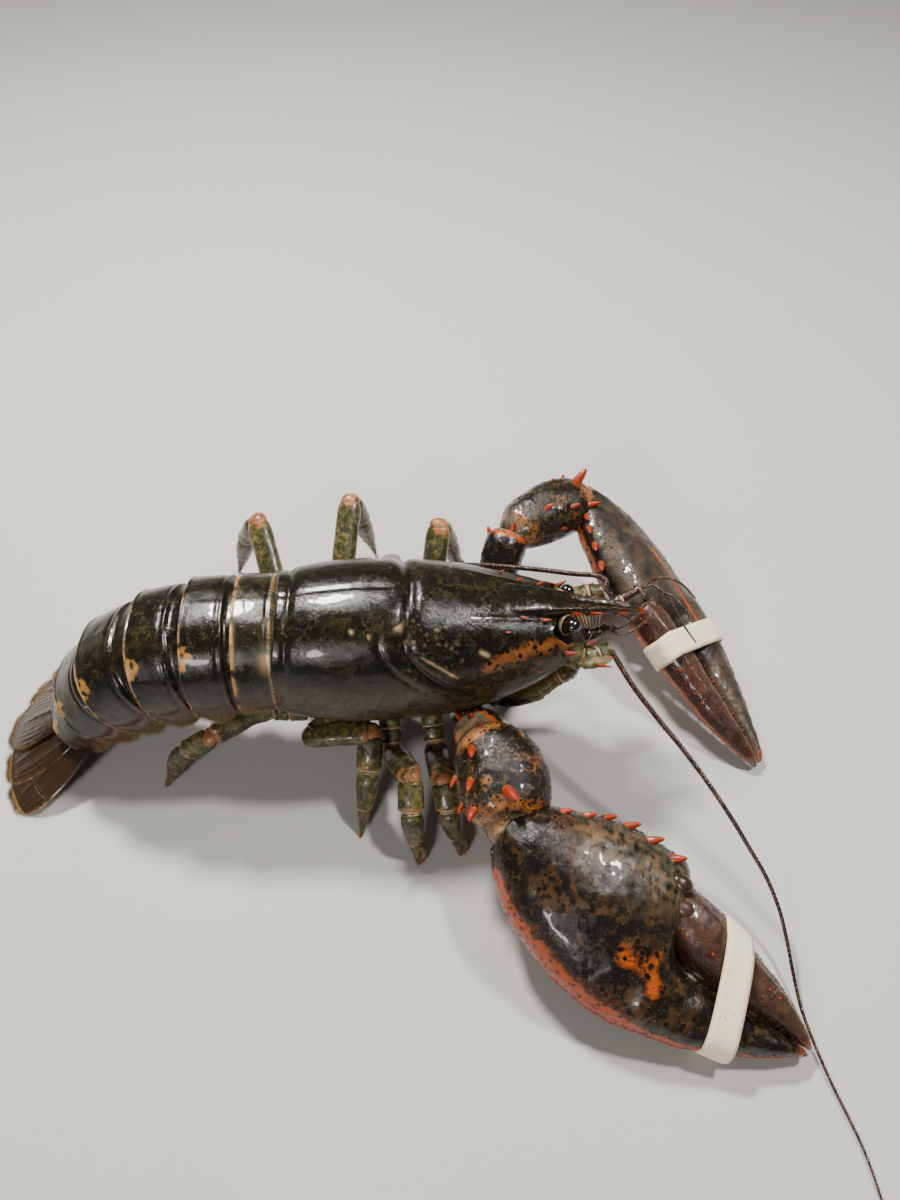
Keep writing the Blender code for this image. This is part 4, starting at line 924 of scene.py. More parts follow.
def add_rostrum(shape):
    """The pointed beak, with a shallow channel between its raised edges."""
    path = [(28, 0, 82.5), (44, 0, 80.6), (60, 0, 78), (75, 0, 75.6), ROSTRUM_TIP]
    width = [(0, 9), (0.3, 7.2), (0.5, 5), (0.62, 4), (0.75, 3), (0.88, 2), (0.96, 1.2), (1, 0.5)]
    height = [(0, 3), (0.35, 3.2), (0.6, 2.4), (0.85, 1.6), (0.96, 1.1), (1, 0.4)]
    rings, share, turn, rise = rings_along(path, width, height, 130, 56, UP, 2.5)
    across, above = np.cos(turn), np.clip(np.sin(turn), 0, 1)
    dip = -0.85 * hump(across, 0, 0.45) * above * ease(share, 0.3, 0.5) * ease(share, 0.97, 0.8)
    ridge = 0.55 * hump(np.abs(across), 0.82, 0.16) * above * ease(share, 0.3, 0.5) * ease(share, 0.98, 0.85)
    rings = rings + rise[:, None] * (dip + ridge + 0.12 * lumps(rings, 2, 3))[..., None]
    red = 0.02 * ease(share, 0.3, 0.6) + 0.9 * ease(share, 0.93, 0.97)
    hair = 0.6 * hump(np.abs(across), 0.55, 0.25) * ease(share, 0.45, 0.6) * (above > 0.2)
    hair = (hair + 0.9 * (np.sin(turn) < -0.4) * ease(share, 0.5, 0.62)) * ease(share, 0.94, 0.88)
    # The last mark is painted shade along the sunken channel between the beak's raised edges
    marks = (0.12 * ease(share, 0.35, 0.8), 0, red, 0.35 * hump(across, 0, 0.3) * above)
    shape.grid(rings, marks, hair, (1, 0, -0.35))


def add_socket(shape, hand):
    """The pale rim and cup behind an eye, and the comb of stiff yellow bristles beside it under the beak."""
    look = unit((0.62, 0.62 * hand, 0.35))
    centre = EYE_PLACE * (1, hand, 1) - look * 1.9 + (-1.1, 0, 0.2)
    around = circle(look, 48)
    rings = np.stack([centre + around * radius + look * depth for radius, depth, _ in SOCKET_PROFILE])
    rings = rings + 0.1 * lumps(rings, 1.2, 4)[..., None] * around
    rim = np.array([pale for _, _, pale in SOCKET_PROFILE])[:, None] * ease(lumps(rings, 1.6, 9), -0.8, 0.3)
    shape.grid(rings, (0.35, rim))
    for share in np.arange(8) / 7:
        root = (60.5 + 10.5 * share, (4.3 - 1.2 * share) * hand, 76.6 - 2.2 * share)
        lean = (0.42 - 0.35 * share, 0.58 * hand, -0.8)
        bend = (0.12 - 0.3 * share, 0.05 * hand, 0.05)
        shape.spine(root, lean, 6.4 - 1.6 * share, 0.47, bend, 0, 8, 0.75, 0.78, 0.15)


# Underside, which is one soft skin
def build_skin():
    """The soft skin of the chest, head and belly, which shows between the shell plates."""
    shape = Shape()
    ribs = 7.5 * (1 - 0.09 * np.abs(np.cos(np.linspace(0, 5 * math.pi, 60))))
    chest = [(-47, 0, 34), (-10, 0, 31), (22, 0, 32), (36, 0, 37)]
    width = [(0, 8.4), (0.1, 13.9), (0.7, 13.9), (0.9, 9.4), (1, 5.4)]
    shape.grid(rings_along(chest, width, ribs, 60, 40, UP, 3.2)[0])
    width = [(0, 15), (0.5, 13.2), (0.8, 11.6), (1, 8)]
    height = [(0, 14), (0.5, 10.7), (0.8, 8.9), (1, 5.6)]
    head = [(36, 0, 60), (52, 0, 61.5), (62, 0, 63.5), (66, 0, 64.5)]
    shape.grid(rings_along(head, width, height, 30, 44, UP, 2.5)[0])
    mouth = [(40, 0, 56), (34, 0, 44), (30, 0, 36)]
    shape.grid(rings_along(mouth, [(0, 11), (1, 9)], [(0, 9), (1, 6)], 14, 30, (1, 0, 0))[0])
    centres = [(-40, 0, 60)] + [place - rise * 0.5 for place, _, _, rise in somite_frames()]
    eighths = np.linspace(0, 1, 8)
    wide = list(zip(eighths, (22, 24.5, 24.5, 23.5, 22, 19.5, 16, 12)))
    high = list(zip(eighths, (26, 25.6, 25.4, 23.6, 21.6, 18.6, 14, 9)))
    rings, share, turn, rise = rings_along(centres, wide, high, 70, 52, UP, 2.2)
    lift = np.maximum(-np.sin(turn), 0) * (through(high)(share) - 8.6)
    shape.grid(rings + rise[:, None] * np.maximum(lift, 0)[..., None])
    made = shape.finish("skin", "underside", kept=False)
    remesh = made.modifiers.new("remesh", "REMESH")
    remesh.mode, remesh.voxel_size = "VOXEL", MM
    remesh.use_smooth_shade = True
    made.modifiers.new("smooth", "SMOOTH").iterations = 6
    whole = evaluated(made)
    made.modifiers.clear()
    made.data = whole
    whole.materials.clear()
    whole.materials.append(finish_of("underside"))
    settle(made, "thorax head")


# Abdomen
def somite_frames():
    """Each somite's front place, with its backward, left and upward directions, and the end of the last."""
    place = np.array(ABDOMEN_START)
    frames = []
    for turn, (length, slope, *_) in enumerate(SOMITES):
        down, aside = math.radians(slope), math.radians(turn)
        back = np.array((-math.cos(down) * math.cos(aside), math.cos(down) * math.sin(aside), -math.sin(down)))
        left = unit(np.cross(back, UP))
        frames.append((place, back, left, np.cross(left, back)))
        place = place + back * length
    return frames + [(place, *frames[-1][1:])]


def somite_outline(count, half_width, height, belly, drop):
    """Half of a somite's ring from the top to the middle of the belly, as arrays of aside and up."""
    up, across = rounded(np.radians(range(0, 91, 15)), 2.25)
    stops = list(zip(across * half_width, up * height))
    stops += [(half_width * wide, -drop * deep) for wide, deep in PLEURON_OUTLINE]
    stops += [(half_width * 0.72, -belly), (half_width * 0.4, -belly - 1.2), (0, -belly - 1.5)]
    return path_through(stops)(np.linspace(0, 1, count))


def build_somite(index, frames):
    """One ring of the abdomen: a smooth front part, a cross groove, side plates and, below, swimming limbs."""
    shape = Shape()
    place, back, left, rise = frames[index]
    length, _, half_width, height, belly, full_drop = SOMITES[index]
    shares = np.concatenate((np.linspace(-7 / length, 0, 10)[:-1], np.linspace(0, 1, 74)))
    count = 88
    rings = []
    for share, lobe, swell in zip(shares, through(PLEURON_LOBE)(shares), through(SOMITE_SWELL)(shares)):
        drop = belly + 0.6 + (full_drop - belly) * lobe
        half = somite_outline(count, half_width * swell, height * swell, belly, drop)
        outline = np.concatenate((half, half[-2:0:-1] * (-1, 1)))
        centre = place + back * (share * length)
        rings.append(centre + outline @ np.array((left, rise)))
    rings = np.array(rings)
    out = outward(rings)
    around = np.arange(rings.shape[1])
    around = (np.minimum(around, rings.shape[1] - around) / count)[None]
    share = shares[:, None]
    upper = ease(around, 0.8, 0.66)
    rough = 0.16 * lumps(rings, 7, index) + 0.08 * lumps(rings, 2.6, index + 9)
    rough = rough - 0.22 * hump(share, 0.2, 0.05) * upper + 0.28 * hump(share, 0.985, 0.025)
    crease = 0.55 * hump(around, 0.52, 0.02) * ease(share, 0.1, 0.3)
    rings = rings + out * (rough * ease(share, -0.1, 0.05) - crease)[..., None]
    thin = 0.034 if index else 0.1
    ragged = ease(lumps(rings, 3, 4) + 0.6 * lumps(rings, 1.2, 5), -0.9, 0.5)
    rim = 0.85 * hump(share, 1, thin) * ragged * upper
    knuckle = hump(around, 0.235, 0.04) * hump(share, 0.84, 0.15) + hump(around, 0.29, 0.025) * hump(share, 0.93, 0.08)
    warm = rim + 0.95 * knuckle * ease(lumps(rings, 1.8, 6), -0.7, 0.1) * (index > 0)
    edge = hump(around, 0.62, 0.05) * ease(share, 0.2, 0.5)
    pale = 0.35 * hump(share, 0.995, thin) * ragged * hump(around, 0.2, 0.3)
    if index == 0:
        band = ease(share, -0.14, -0.07) * ease(share, 0.2, 0.13) * upper
        warm, pale = warm + 0.35 * band, pale + 0.42 * band * (0.6 + 0.4 * np.sin(around * 300))
        pale = pale + 0.8 * hump(around, 0.3, 0.06) * hump(share, 0.16, 0.17)
    # The last mark is painted shade in the cross groove on the ring's upper side
    marks = (warm + 0.2 * edge, pale, 0.1 * ease(around, 0.42, 0.55), 0.25 * hump(share, 0.2, 0.04) * upper)
    hair = edge + 0.55 * hump(around, 0.62, 0.1) * ease(share, 0, 0.3)
    marks = np.pad(marks_of(rings, *marks), ((0, 2), (0, 0), (0, 0)), mode="edge")
    lip = np.stack((rings[-1] - out[-1] * 0.8 - back * 0.3, rings[-1] - out[-1] * 1.2 - back * 4.5))
    rings = np.concatenate((rings, lip))
    shape.grid(rings, marks, np.pad(hair, ((0, 2), (0, 0))), back * 0.45 - rise * 0.9)
    if index in PADDLE_SOMITES:
        for hand in (-1, 1):
            add_paddle(shape, frames[index], index, hand)
    name = f"somite_{index + 1}"
    made = shape.finish("shell_" + name, "tail_shell", name, "tail_shell")
    bristles(name, made, 5, 2.4, 0.05, BRISTLE_SEEDS["somite"] + index)


def add_paddle(shape, frame_there, index, hand):
    """A two-bladed swimming limb under a somite, its blades fringed."""
    place, back, left, rise = frame_there
    length, _, _, _, belly, _ = SOMITES[index]
    root = place + back * (length * 0.5) - rise * (belly - 2) + left * (9 * hand)
    for aside, long in ((0, 1), (3, 0.86)):
        start = root + left * (aside * hand)
        end = root + (back * 7 - rise * 13 + left * ((2 + aside) * hand)) * long
        size = [(0, 1.6), (0.25, 1.3), (0.4, 2), (0.7, 2.9), (0.9, 2.1), (1, 0.8)]
        rings, share, turn, _ = rings_along([start, end], size, [(0, 1.2), (0.3, 0.9), (1, 0.35)], 24, 20, back)
        hair = ease(np.abs(np.cos(turn)), 0.75, 0.97) * ease(share, 0.3, 0.5)
        shape.grid(rings, (0.4, 0.25), hair, unit(end - start))


# Tail fan
def build_tail_fan(frames):
    """The telson and the plates beside it, ribbed, keeled and fringed."""
    place, back, left, rise = frames[-1]
    level_back = unit((back[0], back[1], 0))
    for number, (name, turn, half_width, ridge, aside, lift) in enumerate(TAIL_PLATES):
        shape = Shape()
        root = place + left * aside + rise * lift - back * 3
        angle = math.radians(turn)
        down = math.asin((root[2] - 0.2) / TAIL_PLATE_LENGTH)
        along = (level_back * math.cos(angle) + left * math.sin(angle)) * math.cos(down) - UP * math.sin(down)
        side = unit(np.cross(along, UP))
        out = np.cross(side, along)
        width = [(0, 0.42), (0.15, 0.66), (0.45, 0.96), (0.75, 1), (0.92, 0.82), (0.98, 0.62), (1, 0.42)]
        width = [(share, wide * half_width) for share, wide in width]
        height = [(share, high * ridge) for share, high in ((0, 2.6), (0.3, 2), (0.7, 1.3), (1, 0.45))]
        rings, share, around, _ = rings_along([root, root + along * TAIL_PLATE_LENGTH], width, height, 110, 100, out)
        across, above = np.cos(around), np.sin(around)
        ribs = 0.12 * np.cos(across * 34) * ease(share, 0.35, 0.6) * ease(np.abs(above), 0.1, 0.4)
        keels = 0.55 * hump(across, 0, 0.09) + (name != "telson") * 0.3 * hump(across, 0.5 * np.sign(turn), 0.07)
        keels = keels * ease(above, 0, 0.4) * ease(share, 1, 0.7)
        suture = ("outer" in name) * 0.5 * hump(share + 0.05 * across**2, 0.72, 0.012) * ease(above, 0, 0.3)
        rough = ribs + keels - suture + 0.06 * lumps(rings, 2, 6)
        rings = rings + out * (rough * np.sign(above))[..., None]
        rings[..., 2] = np.maximum(rings[..., 2], FLOOR_GAP)
        rim = ease(share, 0.93, 1) + 0.5 * hump(np.abs(across), 1, 0.12) * ease(share, 0.3, 0.6)
        marks = (np.clip(rim, 0, 1) * 0.8, 0.15 * ease(share, 0.97, 1), 0, np.clip(suture, 0, 0.7))
        hair = ease(share, 0.955, 0.985) + 0.7 * ease(np.abs(across), 0.93, 0.99) * ease(share, 0.45, 0.7)
        shape.grid(rings, marks, np.clip(hair, 0, 1), unit(along + side * (across * 0.55)[..., None]))
        if name != "telson":
            tip = root + along * (TAIL_PLATE_LENGTH * 0.86) + side * (half_width * 0.86 * -np.sign(turn))
            shape.spine(tip, along - side * 0.2 * np.sign(turn), 2.6, 0.7)
        made = shape.finish("shell_" + name, "tail_shell", name, "tail_shell")
        bristles(name, made, 16, 2.4, 0.055, BRISTLE_SEEDS["tail"] + number)


# Head
def build_eyes():
    """The two stalked eyes in their pale-rimmed sockets."""
    radius = bpy.context.scene.lobster_sizes.eye_radius / MM
    for hand, name in HANDS:
        centre = EYE_PLACE * (1, hand, 1)
        look = unit((0.55, 0.62 * hand, 0.35))
        start = EYE_PLACE * (1, 0, 1) + (-4, 4 * hand, -5)
        stalk = Shape()
        size = [(0, 2), (0.4, 2.3), (0.7, 2.7), (0.9, radius * 0.98), (1, radius * 0.92)]
        rings, share, _, _ = rings_along([start, centre + look * (radius * 0.1)], size, size, 26, 32)
        rings = roughened(rings, ((0.08, 1.1, hand),))
        stalk.grid(rings, (0.25 * ease(share, 0.2, 0.6), 0.45 * ease(share, 0.7, 0.95)))
        stalk.finish("eyestalk_shell_" + name, "leg_shell", "eyestalk_" + name, "underside")
        ball = Shape()
        polar = np.linspace(0.02, math.pi - 0.02, 40)[:, None]
        reach = np.sin(polar) * radius * (1 + 0.02 * np.cos(2 * full_turn(48)))
        rings = centre + look * (np.cos(polar) * radius * 0.96)[..., None] + circle(look, 48) * reach[..., None]
        ball.grid(rings, (0, ease(polar, 1.85, 2.15)))
        ball.finish("eye_ball_" + name, "eye", "eye_" + name, "eye")


def segment(shape, path, size, start, end, sides, up=UP, flat=1, flare=0.1, rows=26, hair=0, lie=None, seed=0,
            rough=0.1, tip=0):
    """A limb's segment between two shares of its path, narrow where it hinges and flared at its far end."""
    local = np.linspace(0, 1, rows)
    shares = start + (end - start) * local
    form = 0.84 + 0.16 * ease(local, 0, 0.16) + flare * hump(local, 0.93, 0.1) - 0.1 * ease(local, 0.965, 1)
    girth = read(size, shares) * form
    rings = rings_along(path, girth * flat, girth, shares, sides, up, 2.2)[0]
    rings = roughened(rings, ((rough, 2.4, seed),))
    local = local[:, None]
    ragged = 0.55 + 0.45 * lumps(rings, 2.2, seed + 4)
    warm = (0.75 * hump(local, 0.96, 0.07) + 0.4 * hump(local, 0.03, 0.06)) * ragged + 0.1
    direction = unit(path(end) - path(start)) if lie is None else lie
    shape.grid(rings, (warm, 0.2 * hump(local, 1, 0.03), tip and ease(local, tip, 1)), hair, direction)


def membrane(shape, path, size, share, reach, sides, up=UP, flat=1):
    """The pale folded skin in the joint between two segments."""
    local = np.linspace(0, 1, 12)
    shares = share - reach + 2 * reach * local
    girth = read(size, shares) * (0.86 + 0.04 * np.cos(local * 4 * math.pi))
    shape.grid(rings_along(path, girth * flat, girth, shares, sides, up, 2.2)[0], (0.2, 0.95))


def whip(shape, stops, thick, thin, pitch, sides, fringe=0):
    """A tapering feeler of many short rings, each a little wider at its far end."""
    path = path_through(stops)
    length = np.linalg.norm(np.diff(path(np.linspace(0, 1, 200)), axis=0), axis=1).sum()
    rows = int(length / pitch * 6)
    shares = np.linspace(0, 1, rows)
    phase = (shares * length / (pitch * (1 + 0.5 * shares))) % 1
    size = (thick + (thin - thick) * shares) * (0.9 + 0.17 * ease(phase, 0.1, 0.85) * ease(phase, 1, 0.93))
    rings = rings_along(path, size, size, shares, sides, (0, 0.3, 1))[0]
    long = 0.35 + 0.65 * (np.sin(np.arange(rows) * 0.7) > -0.2)
    warm = (ease(phase, 0.6, 0.85) * 0.5 * long)[:, None]
    shape.grid(rings, (warm,), fringe, heading(path, shares)[:, None])


def build_feelers():
    """The antennae with their jointed, spined stems and the short forked antennules between them."""
    pitch = bpy.context.scene.lobster_sizes.bead_pitch / MM
    for hand, name in HANDS:
        root, end = (np.array(place[name], float) for place in (ANTENNA_ROOTS, ANTENNA_ENDS))
        path = path_through([root, (root + end) / 2 + (1, 2.5 * hand, -1), end])
        size = through([(0, 4.9), (0.35, 5.1), (0.5, 4.7), (0.7, 4.2), (0.84, 3.6), (1, 2.7)])
        stem = Shape()
        for number, (start, stop) in enumerate(((0, 0.38), (0.42, 0.71), (0.75, 1))):
            segment(stem, path, size, start, stop, 34, UP, 1.05, 0.08, 30, 0.12, None, 60 + number, 0.16)
        for share in (0.4, 0.73):
            membrane(stem, path, size, share, 0.06, 30)
        blade_root = root + (5, 4.5 * hand, 1)
        blade = [blade_root, blade_root + (6, 2.5 * hand, 1), blade_root + (13, 2 * hand, 2.5)]
        width, height = [(0, 3), (0.5, 2.9), (0.85, 1.7), (1, 0.3)], [(0, 1.6), (0.7, 0.8), (1, 0.25)]
        rings, share, turn, _ = rings_along(blade, width, height, 34, 30)
        marks = (0.28 + 0.2 * lumps(rings, 1.6, 3), 0.06, 0.8 * ease(share, 0.85, 1))
        fringe = ease(np.cos(turn) * -hand, 0.6, 0.9) * ease(share, 0.2, 0.4)
        stem.grid(rings, marks, fringe, (0.8, -0.6 * hand, 0))
        for place, lean, long, wide in (
            (blade_root + (7, 4.6 * hand, 1.4), (1, 0.4 * hand, 0.1), 5.5, 1),
            (root + (9, hand, 5), (1, 0.1 * hand, 0.7), 3.6, 0.9),
            (root + (12, 5.4 * hand, 1.5), (1, 0.6 * hand, 0.3), 3.2, 0.8),
        ):
            stem.spine(place, lean, long, wide * 0.85, (0, 0, 0.1), 1, 10, 0, 0, 0.3)
        made = stem.finish("feeler_stem_" + name, "leg_shell", "antenna_stem_" + name, "underside")
        bristles("feeler_stem_" + name, made, 6, 1.8, 0.04, BRISTLE_SEEDS["stem"] + hand)
        long = Shape()
        whip(long, WHIPS[name], 1.15, 0.38, pitch, 12)
        long.finish("feeler_whip_" + name, "feeler", f"antenna_near_{name} antenna_far_{name}", "feeler")
        stem_stops, inner, outer = ANTENNULES[name]
        short = Shape()
        path = path_through(stem_stops)
        size = through([(0, 2.5), (0.5, 2.3), (1, 1.9)])
        for number, (start, stop) in enumerate(((0, 0.36), (0.38, 0.7), (0.72, 1))):
            segment(short, path, size, start, stop, 22, UP, 1, 0.12, 18, 0.05, None, 80 + number)
        for share in (0.37, 0.71):
            membrane(short, path, size, share, 0.06, 20)
        whip(short, inner, 0.85, 0.3, 0.7, 9)
        whip(short, outer, 0.85, 0.3, 0.7, 9, 0.5)
        made = short.finish("feeler_short_" + name, "feeler", "antennule_" + name, "feeler")
        bristles("feeler_short_" + name, made, 14, 1.1, 0.03, BRISTLE_SEEDS["short"] + hand)


def build_mouth_limbs():
    """The outermost mouth limbs, folded under the head, with a comb of bristles on their inner edges."""
    side = (0, 1, 0)
    for hand, name in HANDS:
        path = path_through(np.array(MOUTH_LIMB) * (1, hand, 1))
        size = through([(0, 3.4), (0.2, 4.2), (0.45, 4), (0.55, 3.3), (0.65, 3.2), (0.8, 2.5), (1, 0.9)])
        shape = Shape()
        inner = 0.2 + 0.8 * ease(-np.cos(full_turn(30)) * hand, 0.1, 0.7)
        comb = (0.4, -0.9 * hand, 0.2)
        for number, (start, stop) in enumerate(((0, 0.14), (0.15, 0.47), (0.48, 0.63), (0.64, 0.82), (0.83, 1))):
            segment(shape, path, size, start, stop, 30, side, 0.8, 0.08, 26, inner, comb, 100 + number)
        for share in (0.145, 0.475, 0.635, 0.825):
            membrane(shape, path, size, share, 0.03, 26, side, 0.8)
        for share in np.linspace(0.18, 0.46, 7):
            shape.spine(path(share) + (0, -3 * hand, 1.2), (0.4, -hand, 0.3), 1.6, 0.5)
        made = shape.finish("mouth_limb_shell_" + name, "leg_shell", "mouth_limb_" + name, "underside")
        bristles("mouth_limb_" + name, made, 9, 3.2, 0.045, BRISTLE_SEEDS["mouth"] + hand)
    shape = Shape()
    for hand in (-1, 1):
        for more in (0, 4):
            stops = np.array(((30, 3.5, 36), (42, 5, 40), (52, 4.5, 46), (55, 2.5, 44))) + (more, 0, more)
            path = path_through(stops * (1, hand, 1))
            lie = (0.8, -0.5 * hand, 0.2)
            segment(shape, path, [(0, 2.4), (0.6, 2.6), (1, 0.8)], 0, 1, 22, side, 0.8, 0.02, 24, 0.9, lie)
    made = shape.finish("inner_mouth_limbs", "leg_shell", "", "underside")
    bristles("inner_mouth_limbs", made, 6, 2.2, 0.04, BRISTLE_SEEDS["inner_mouth"])


# Claw legs
def joints_of(table, name):
    """A limb's joints as arrays."""
    return [np.array(place, float) for place in table[name]]


def limb_rings(start, end, sizes, sides, rows, seed, rough=0.25, bow=0, sway=0):
    """Roughened rings of a bowed limb's segment from its (share, half width, half depth) sizes."""
    side = unit(np.cross(unit(end - start), UP))
    rise = np.cross(side, unit(end - start))
    path = [start, (start + end) / 2 + rise * bow + side * sway, end]
    width, depth = ([(row[0], row[column]) for row in sizes] for column in (1, 2))
    rings, share, turn, _ = rings_along(path, width, depth, rows, sides, rise, 2.2)
    return roughened(rings, ((rough, 5, seed), (0.35 * rough, 1.8, seed + 1))), share, turn


def claw_frame(name):
    """A claw's wrist, its directions along it, to its thumb edge and out of its upper face, and its length."""
    *_, wrist, tip = joints_of(CLAW_LEGS, name)
    along, inward = unit(tip - wrist), np.array(CLAW_SHAPES[name]["inward"])
    inner = unit(inward - along * np.dot(inward, along))
    face = np.cross(along, inner)
    return wrist, along, inner, face if face[2] > 0 else -face, np.linalg.norm(tip - wrist)


def edges_at(table, share):
    """The outer edge, the inner edge and the half thickness at shares of a claw's length."""
    return through([(row[0], row[1:]) for row in table])(share).T


def claw_rings(claw, table, rows, sides, lumpy):
    """Rings of a claw's palm or thumb, with their shares, the angles round them and how far lumps push them out."""
    wrist, along, inner, face, length = claw
    shares = np.linspace(table[0][0], table[-1][0], rows)
    low, high, thick = edges_at(table, shares)
    centres = wrist + np.outer(shares * length, along) + np.outer((low + high) / 2, inner)
    turn = full_turn(sides)
    across, up = rounded(turn, CLAW_POWER)
    half = ((high - low) / 2)[:, None]
    rings = centres[:, None] + inner * (across * half)[..., None] + face * (up * thick[:, None])[..., None]
    bumps = sum(height * lumps(rings, size, seed) for height, size, seed in lumpy)
    return rings, shares[:, None], turn[None], bumps


def claw_spot(claw, table, share, degrees):
    """A place on a claw and the way out of it there, at an angle from its inner edge over its upper face."""
    wrist, along, inner, face, length = claw
    low, high, thick = edges_at(table, share)
    across, up = rounded(np.radians(degrees), CLAW_POWER)
    half = (high - low) / 2
    spot = wrist + along * (share * length) + inner * ((low + high) / 2 + across * half) + face * (up * thick)
    return spot, unit(inner * (across / half) + face * (up / thick))


def add_teeth(shape, claw, table, on_palm, crusher, offset):
    """A row of teeth along one edge of a finger: blunt molars on the crusher, small red beads on the cutter."""
    _, along, _, face, _ = claw
    start, end, count = CLAW_SHAPES["right" if crusher else "left"]["teeth"]
    edge = 0 if on_palm else 180
    for i in range(count):
        share = start + (end - start) * (i + offset) / count
        if crusher:
            spot, out = claw_spot(claw, table, share, edge)
            big = (1.25 if i % 3 == 1 else 0.85) * (1 - 0.55 * i / count)
            shape.knob(spot - out * 0.5, out + along * 0.1, 3 * big, 2.5 * big, 0.12, 0.55, 16, 1.25, along)
            continue
        for lift, part in ((0, 1), (22, 0.72), (-22, 0.7)):
            spot, out = claw_spot(claw, table, share + 0.006 * (lift > 0), edge + (lift if on_palm else -lift))
            big = (1.25 if i % 4 == 1 else 0.72) * (1 - 0.35 * i / count) * part
            shape.knob(spot - out * 0.3, out + face * 0.25, 1.5 * big, 1.05 * big, 1 - 0.5 * (i % 3 == 2), 0, 9)


def build_claw(name):
    """One claw's palm and thumb with their spines, teeth, tubercles and coloured margins, and its band."""
    claw, form, crusher = claw_frame(name), CLAW_SHAPES[name], name == "right"
    build_palm(name, claw, form, crusher)
    build_thumb(name, claw, form, crusher)
    build_band(name, claw, form)


def end_claw(shape, name, finish, crusher, grain_size, seed, share_of_grain):
    """Makes a claw's palm or thumb with its grains and bristles."""
    piece = shape.finish("shell_" + name, finish, name, "claw_shell")
    grains(name, piece, share_of_grain, grain_size, GRAIN_SEEDS["claw"] + seed + crusher, finish)
    bristles(name, piece, 6, 1.6, 0.045, BRISTLE_SEEDS["claw"] + seed + crusher)


def build_palm(name, claw, form, crusher):
    """A claw's palm with its fixed finger."""
    _, along, inner, _, _ = claw
    palm, table = Shape(), form["palm"]
    rings, share, turn, bumps = claw_rings(claw, table, 240, 160, ((0.35, 9, 2), (0.22, 3.6, 3), (0.1, 1.5, 4)))
    around = np.degrees(turn)
    near = (around + 180) % 360 - 180
    outer = hump(around, 180, 20)
    socket = hump(share, 0.53 if crusher else 0.45, 0.02) * ease(np.cos(turn), 0.3, 0.8)
    bumps = bumps + 0.18 * np.abs(np.sin(share * 150)) * hump(turn, math.pi, 0.16) * ease(share, 0.08, 0.2)
    rings = rings + outward(rings) * (bumps - 1.2 * socket)[..., None]
    under = ease(-np.sin(turn), 0.25, 0.85)
    if crusher:
        warm = 1.3 * hump(around, 170, 20) * ease(share, 0.02, 0.06) + 0.9 * under
        warm = warm + 0.62 * hump(share, 0.54, 0.05) * hump(around, 98, 18)
        warm = warm + 0.5 * hump(share, 0.45, 0.05) * hump(around, 112, 12)
        warm = warm + 0.16 * hump(share, 0.2, 0.14) * hump(around, 104, 26)
        pale = 0.24 * hump(around, 50, 24) * ease(share, 0.06, 0.2) * ease(share, 0.58, 0.46)
        pale = pale * ease(lumps(rings, 2, 9) + 0.6 * lumps(rings, 0.9, 10), -0.9, 0.5)
        spine = 0.72 * hump(around, 171, 16) * ease(share, 0.02, 0.06)
        dark = 0.5 * hump(share, 0.1, 0.08) * hump(around, 78, 40)
    else:
        warm = 1.1 * close_to(rings, CUTTER_SEAM, 0.9)
        warm = warm + hump(near, -24, 24) * ease(share, 0.03, 0.08) * ease(share, 0.36, 0.28) + 0.6 * under
        pale = (0.08 + 0.07 * lumps(rings, 5, 12)) * ease(np.sin(turn), 0, 0.5) * ease(share, 0.02, 0.1)
        spine = 0.5 * close_to(rings, CUTTER_SEAM, 0.8)
        dark = 0.75 * hump(near, 2, 7) * ease(share, 0.02, 0.06) * ease(share, 0.42, 0.34)
    warm = warm + 0.5 * socket + 0.4 * ease(share, 0.88, 1)
    marks = (warm, pale, spine + 0.45 * ease(share, 0.95, 1), dark)
    grain = 0.35 + 0.9 * hump(near, 28, 26) * ease(share, 0.6, 0.3) + 0.9 * outer + 0.3 * ease(share, 0.5, 0.9)
    hair = 0.8 * hump(np.cos(turn), 1, 0.25) * ease(share, 0.56, 0.62) * (0.25 if crusher else 1)
    palm.grid(rings, marks, hair, inner + along * 0.3, np.clip(grain, 0, 1))
    size = bpy.context.scene.lobster_sizes.spine_share
    for number, (spot, degrees) in enumerate(form["spines"]):
        base, lean = claw_spot(claw, table, spot, degrees)
        big = CLAW_SPINE * (0.85 + 0.07 * number)
        palm.spine(base, lean + along * 0.75, big * 3.1 * size, big, along * 0.12, 1, 16, 0.8, 0, 0.8)
    for number in range(9):
        for degrees, big in ((-14 + 4 * (-1) ** number, 0.5), (44 + 6 * (-1) ** number, 0.38)):
            base, lean = claw_spot(claw, table, 0.09 + 0.042 * number, degrees)
            palm.knob(base, lean, 1.2 * big, 1.5 * big, 0.6, 0, 10)
    for degrees, wide, tint in ((46, 3.3, 0.03), (-46, 3, 0.1)) if crusher else ((44, 2, 0.03), (-44, 2, 0.1)):
        base, lean = claw_spot(claw, table, 0.48 if crusher else 0.4, degrees)
        palm.knob(base - lean * 0.6, lean, wide * 0.75, wide, tint, 0.04, 20, 1.3, along)
    add_teeth(palm, claw, table, True, crusher, 0)
    end_claw(palm, "claw_palm_" + name, "claw_shell" if crusher else "cutter_shell", crusher, 0.5, 0, 0.22)


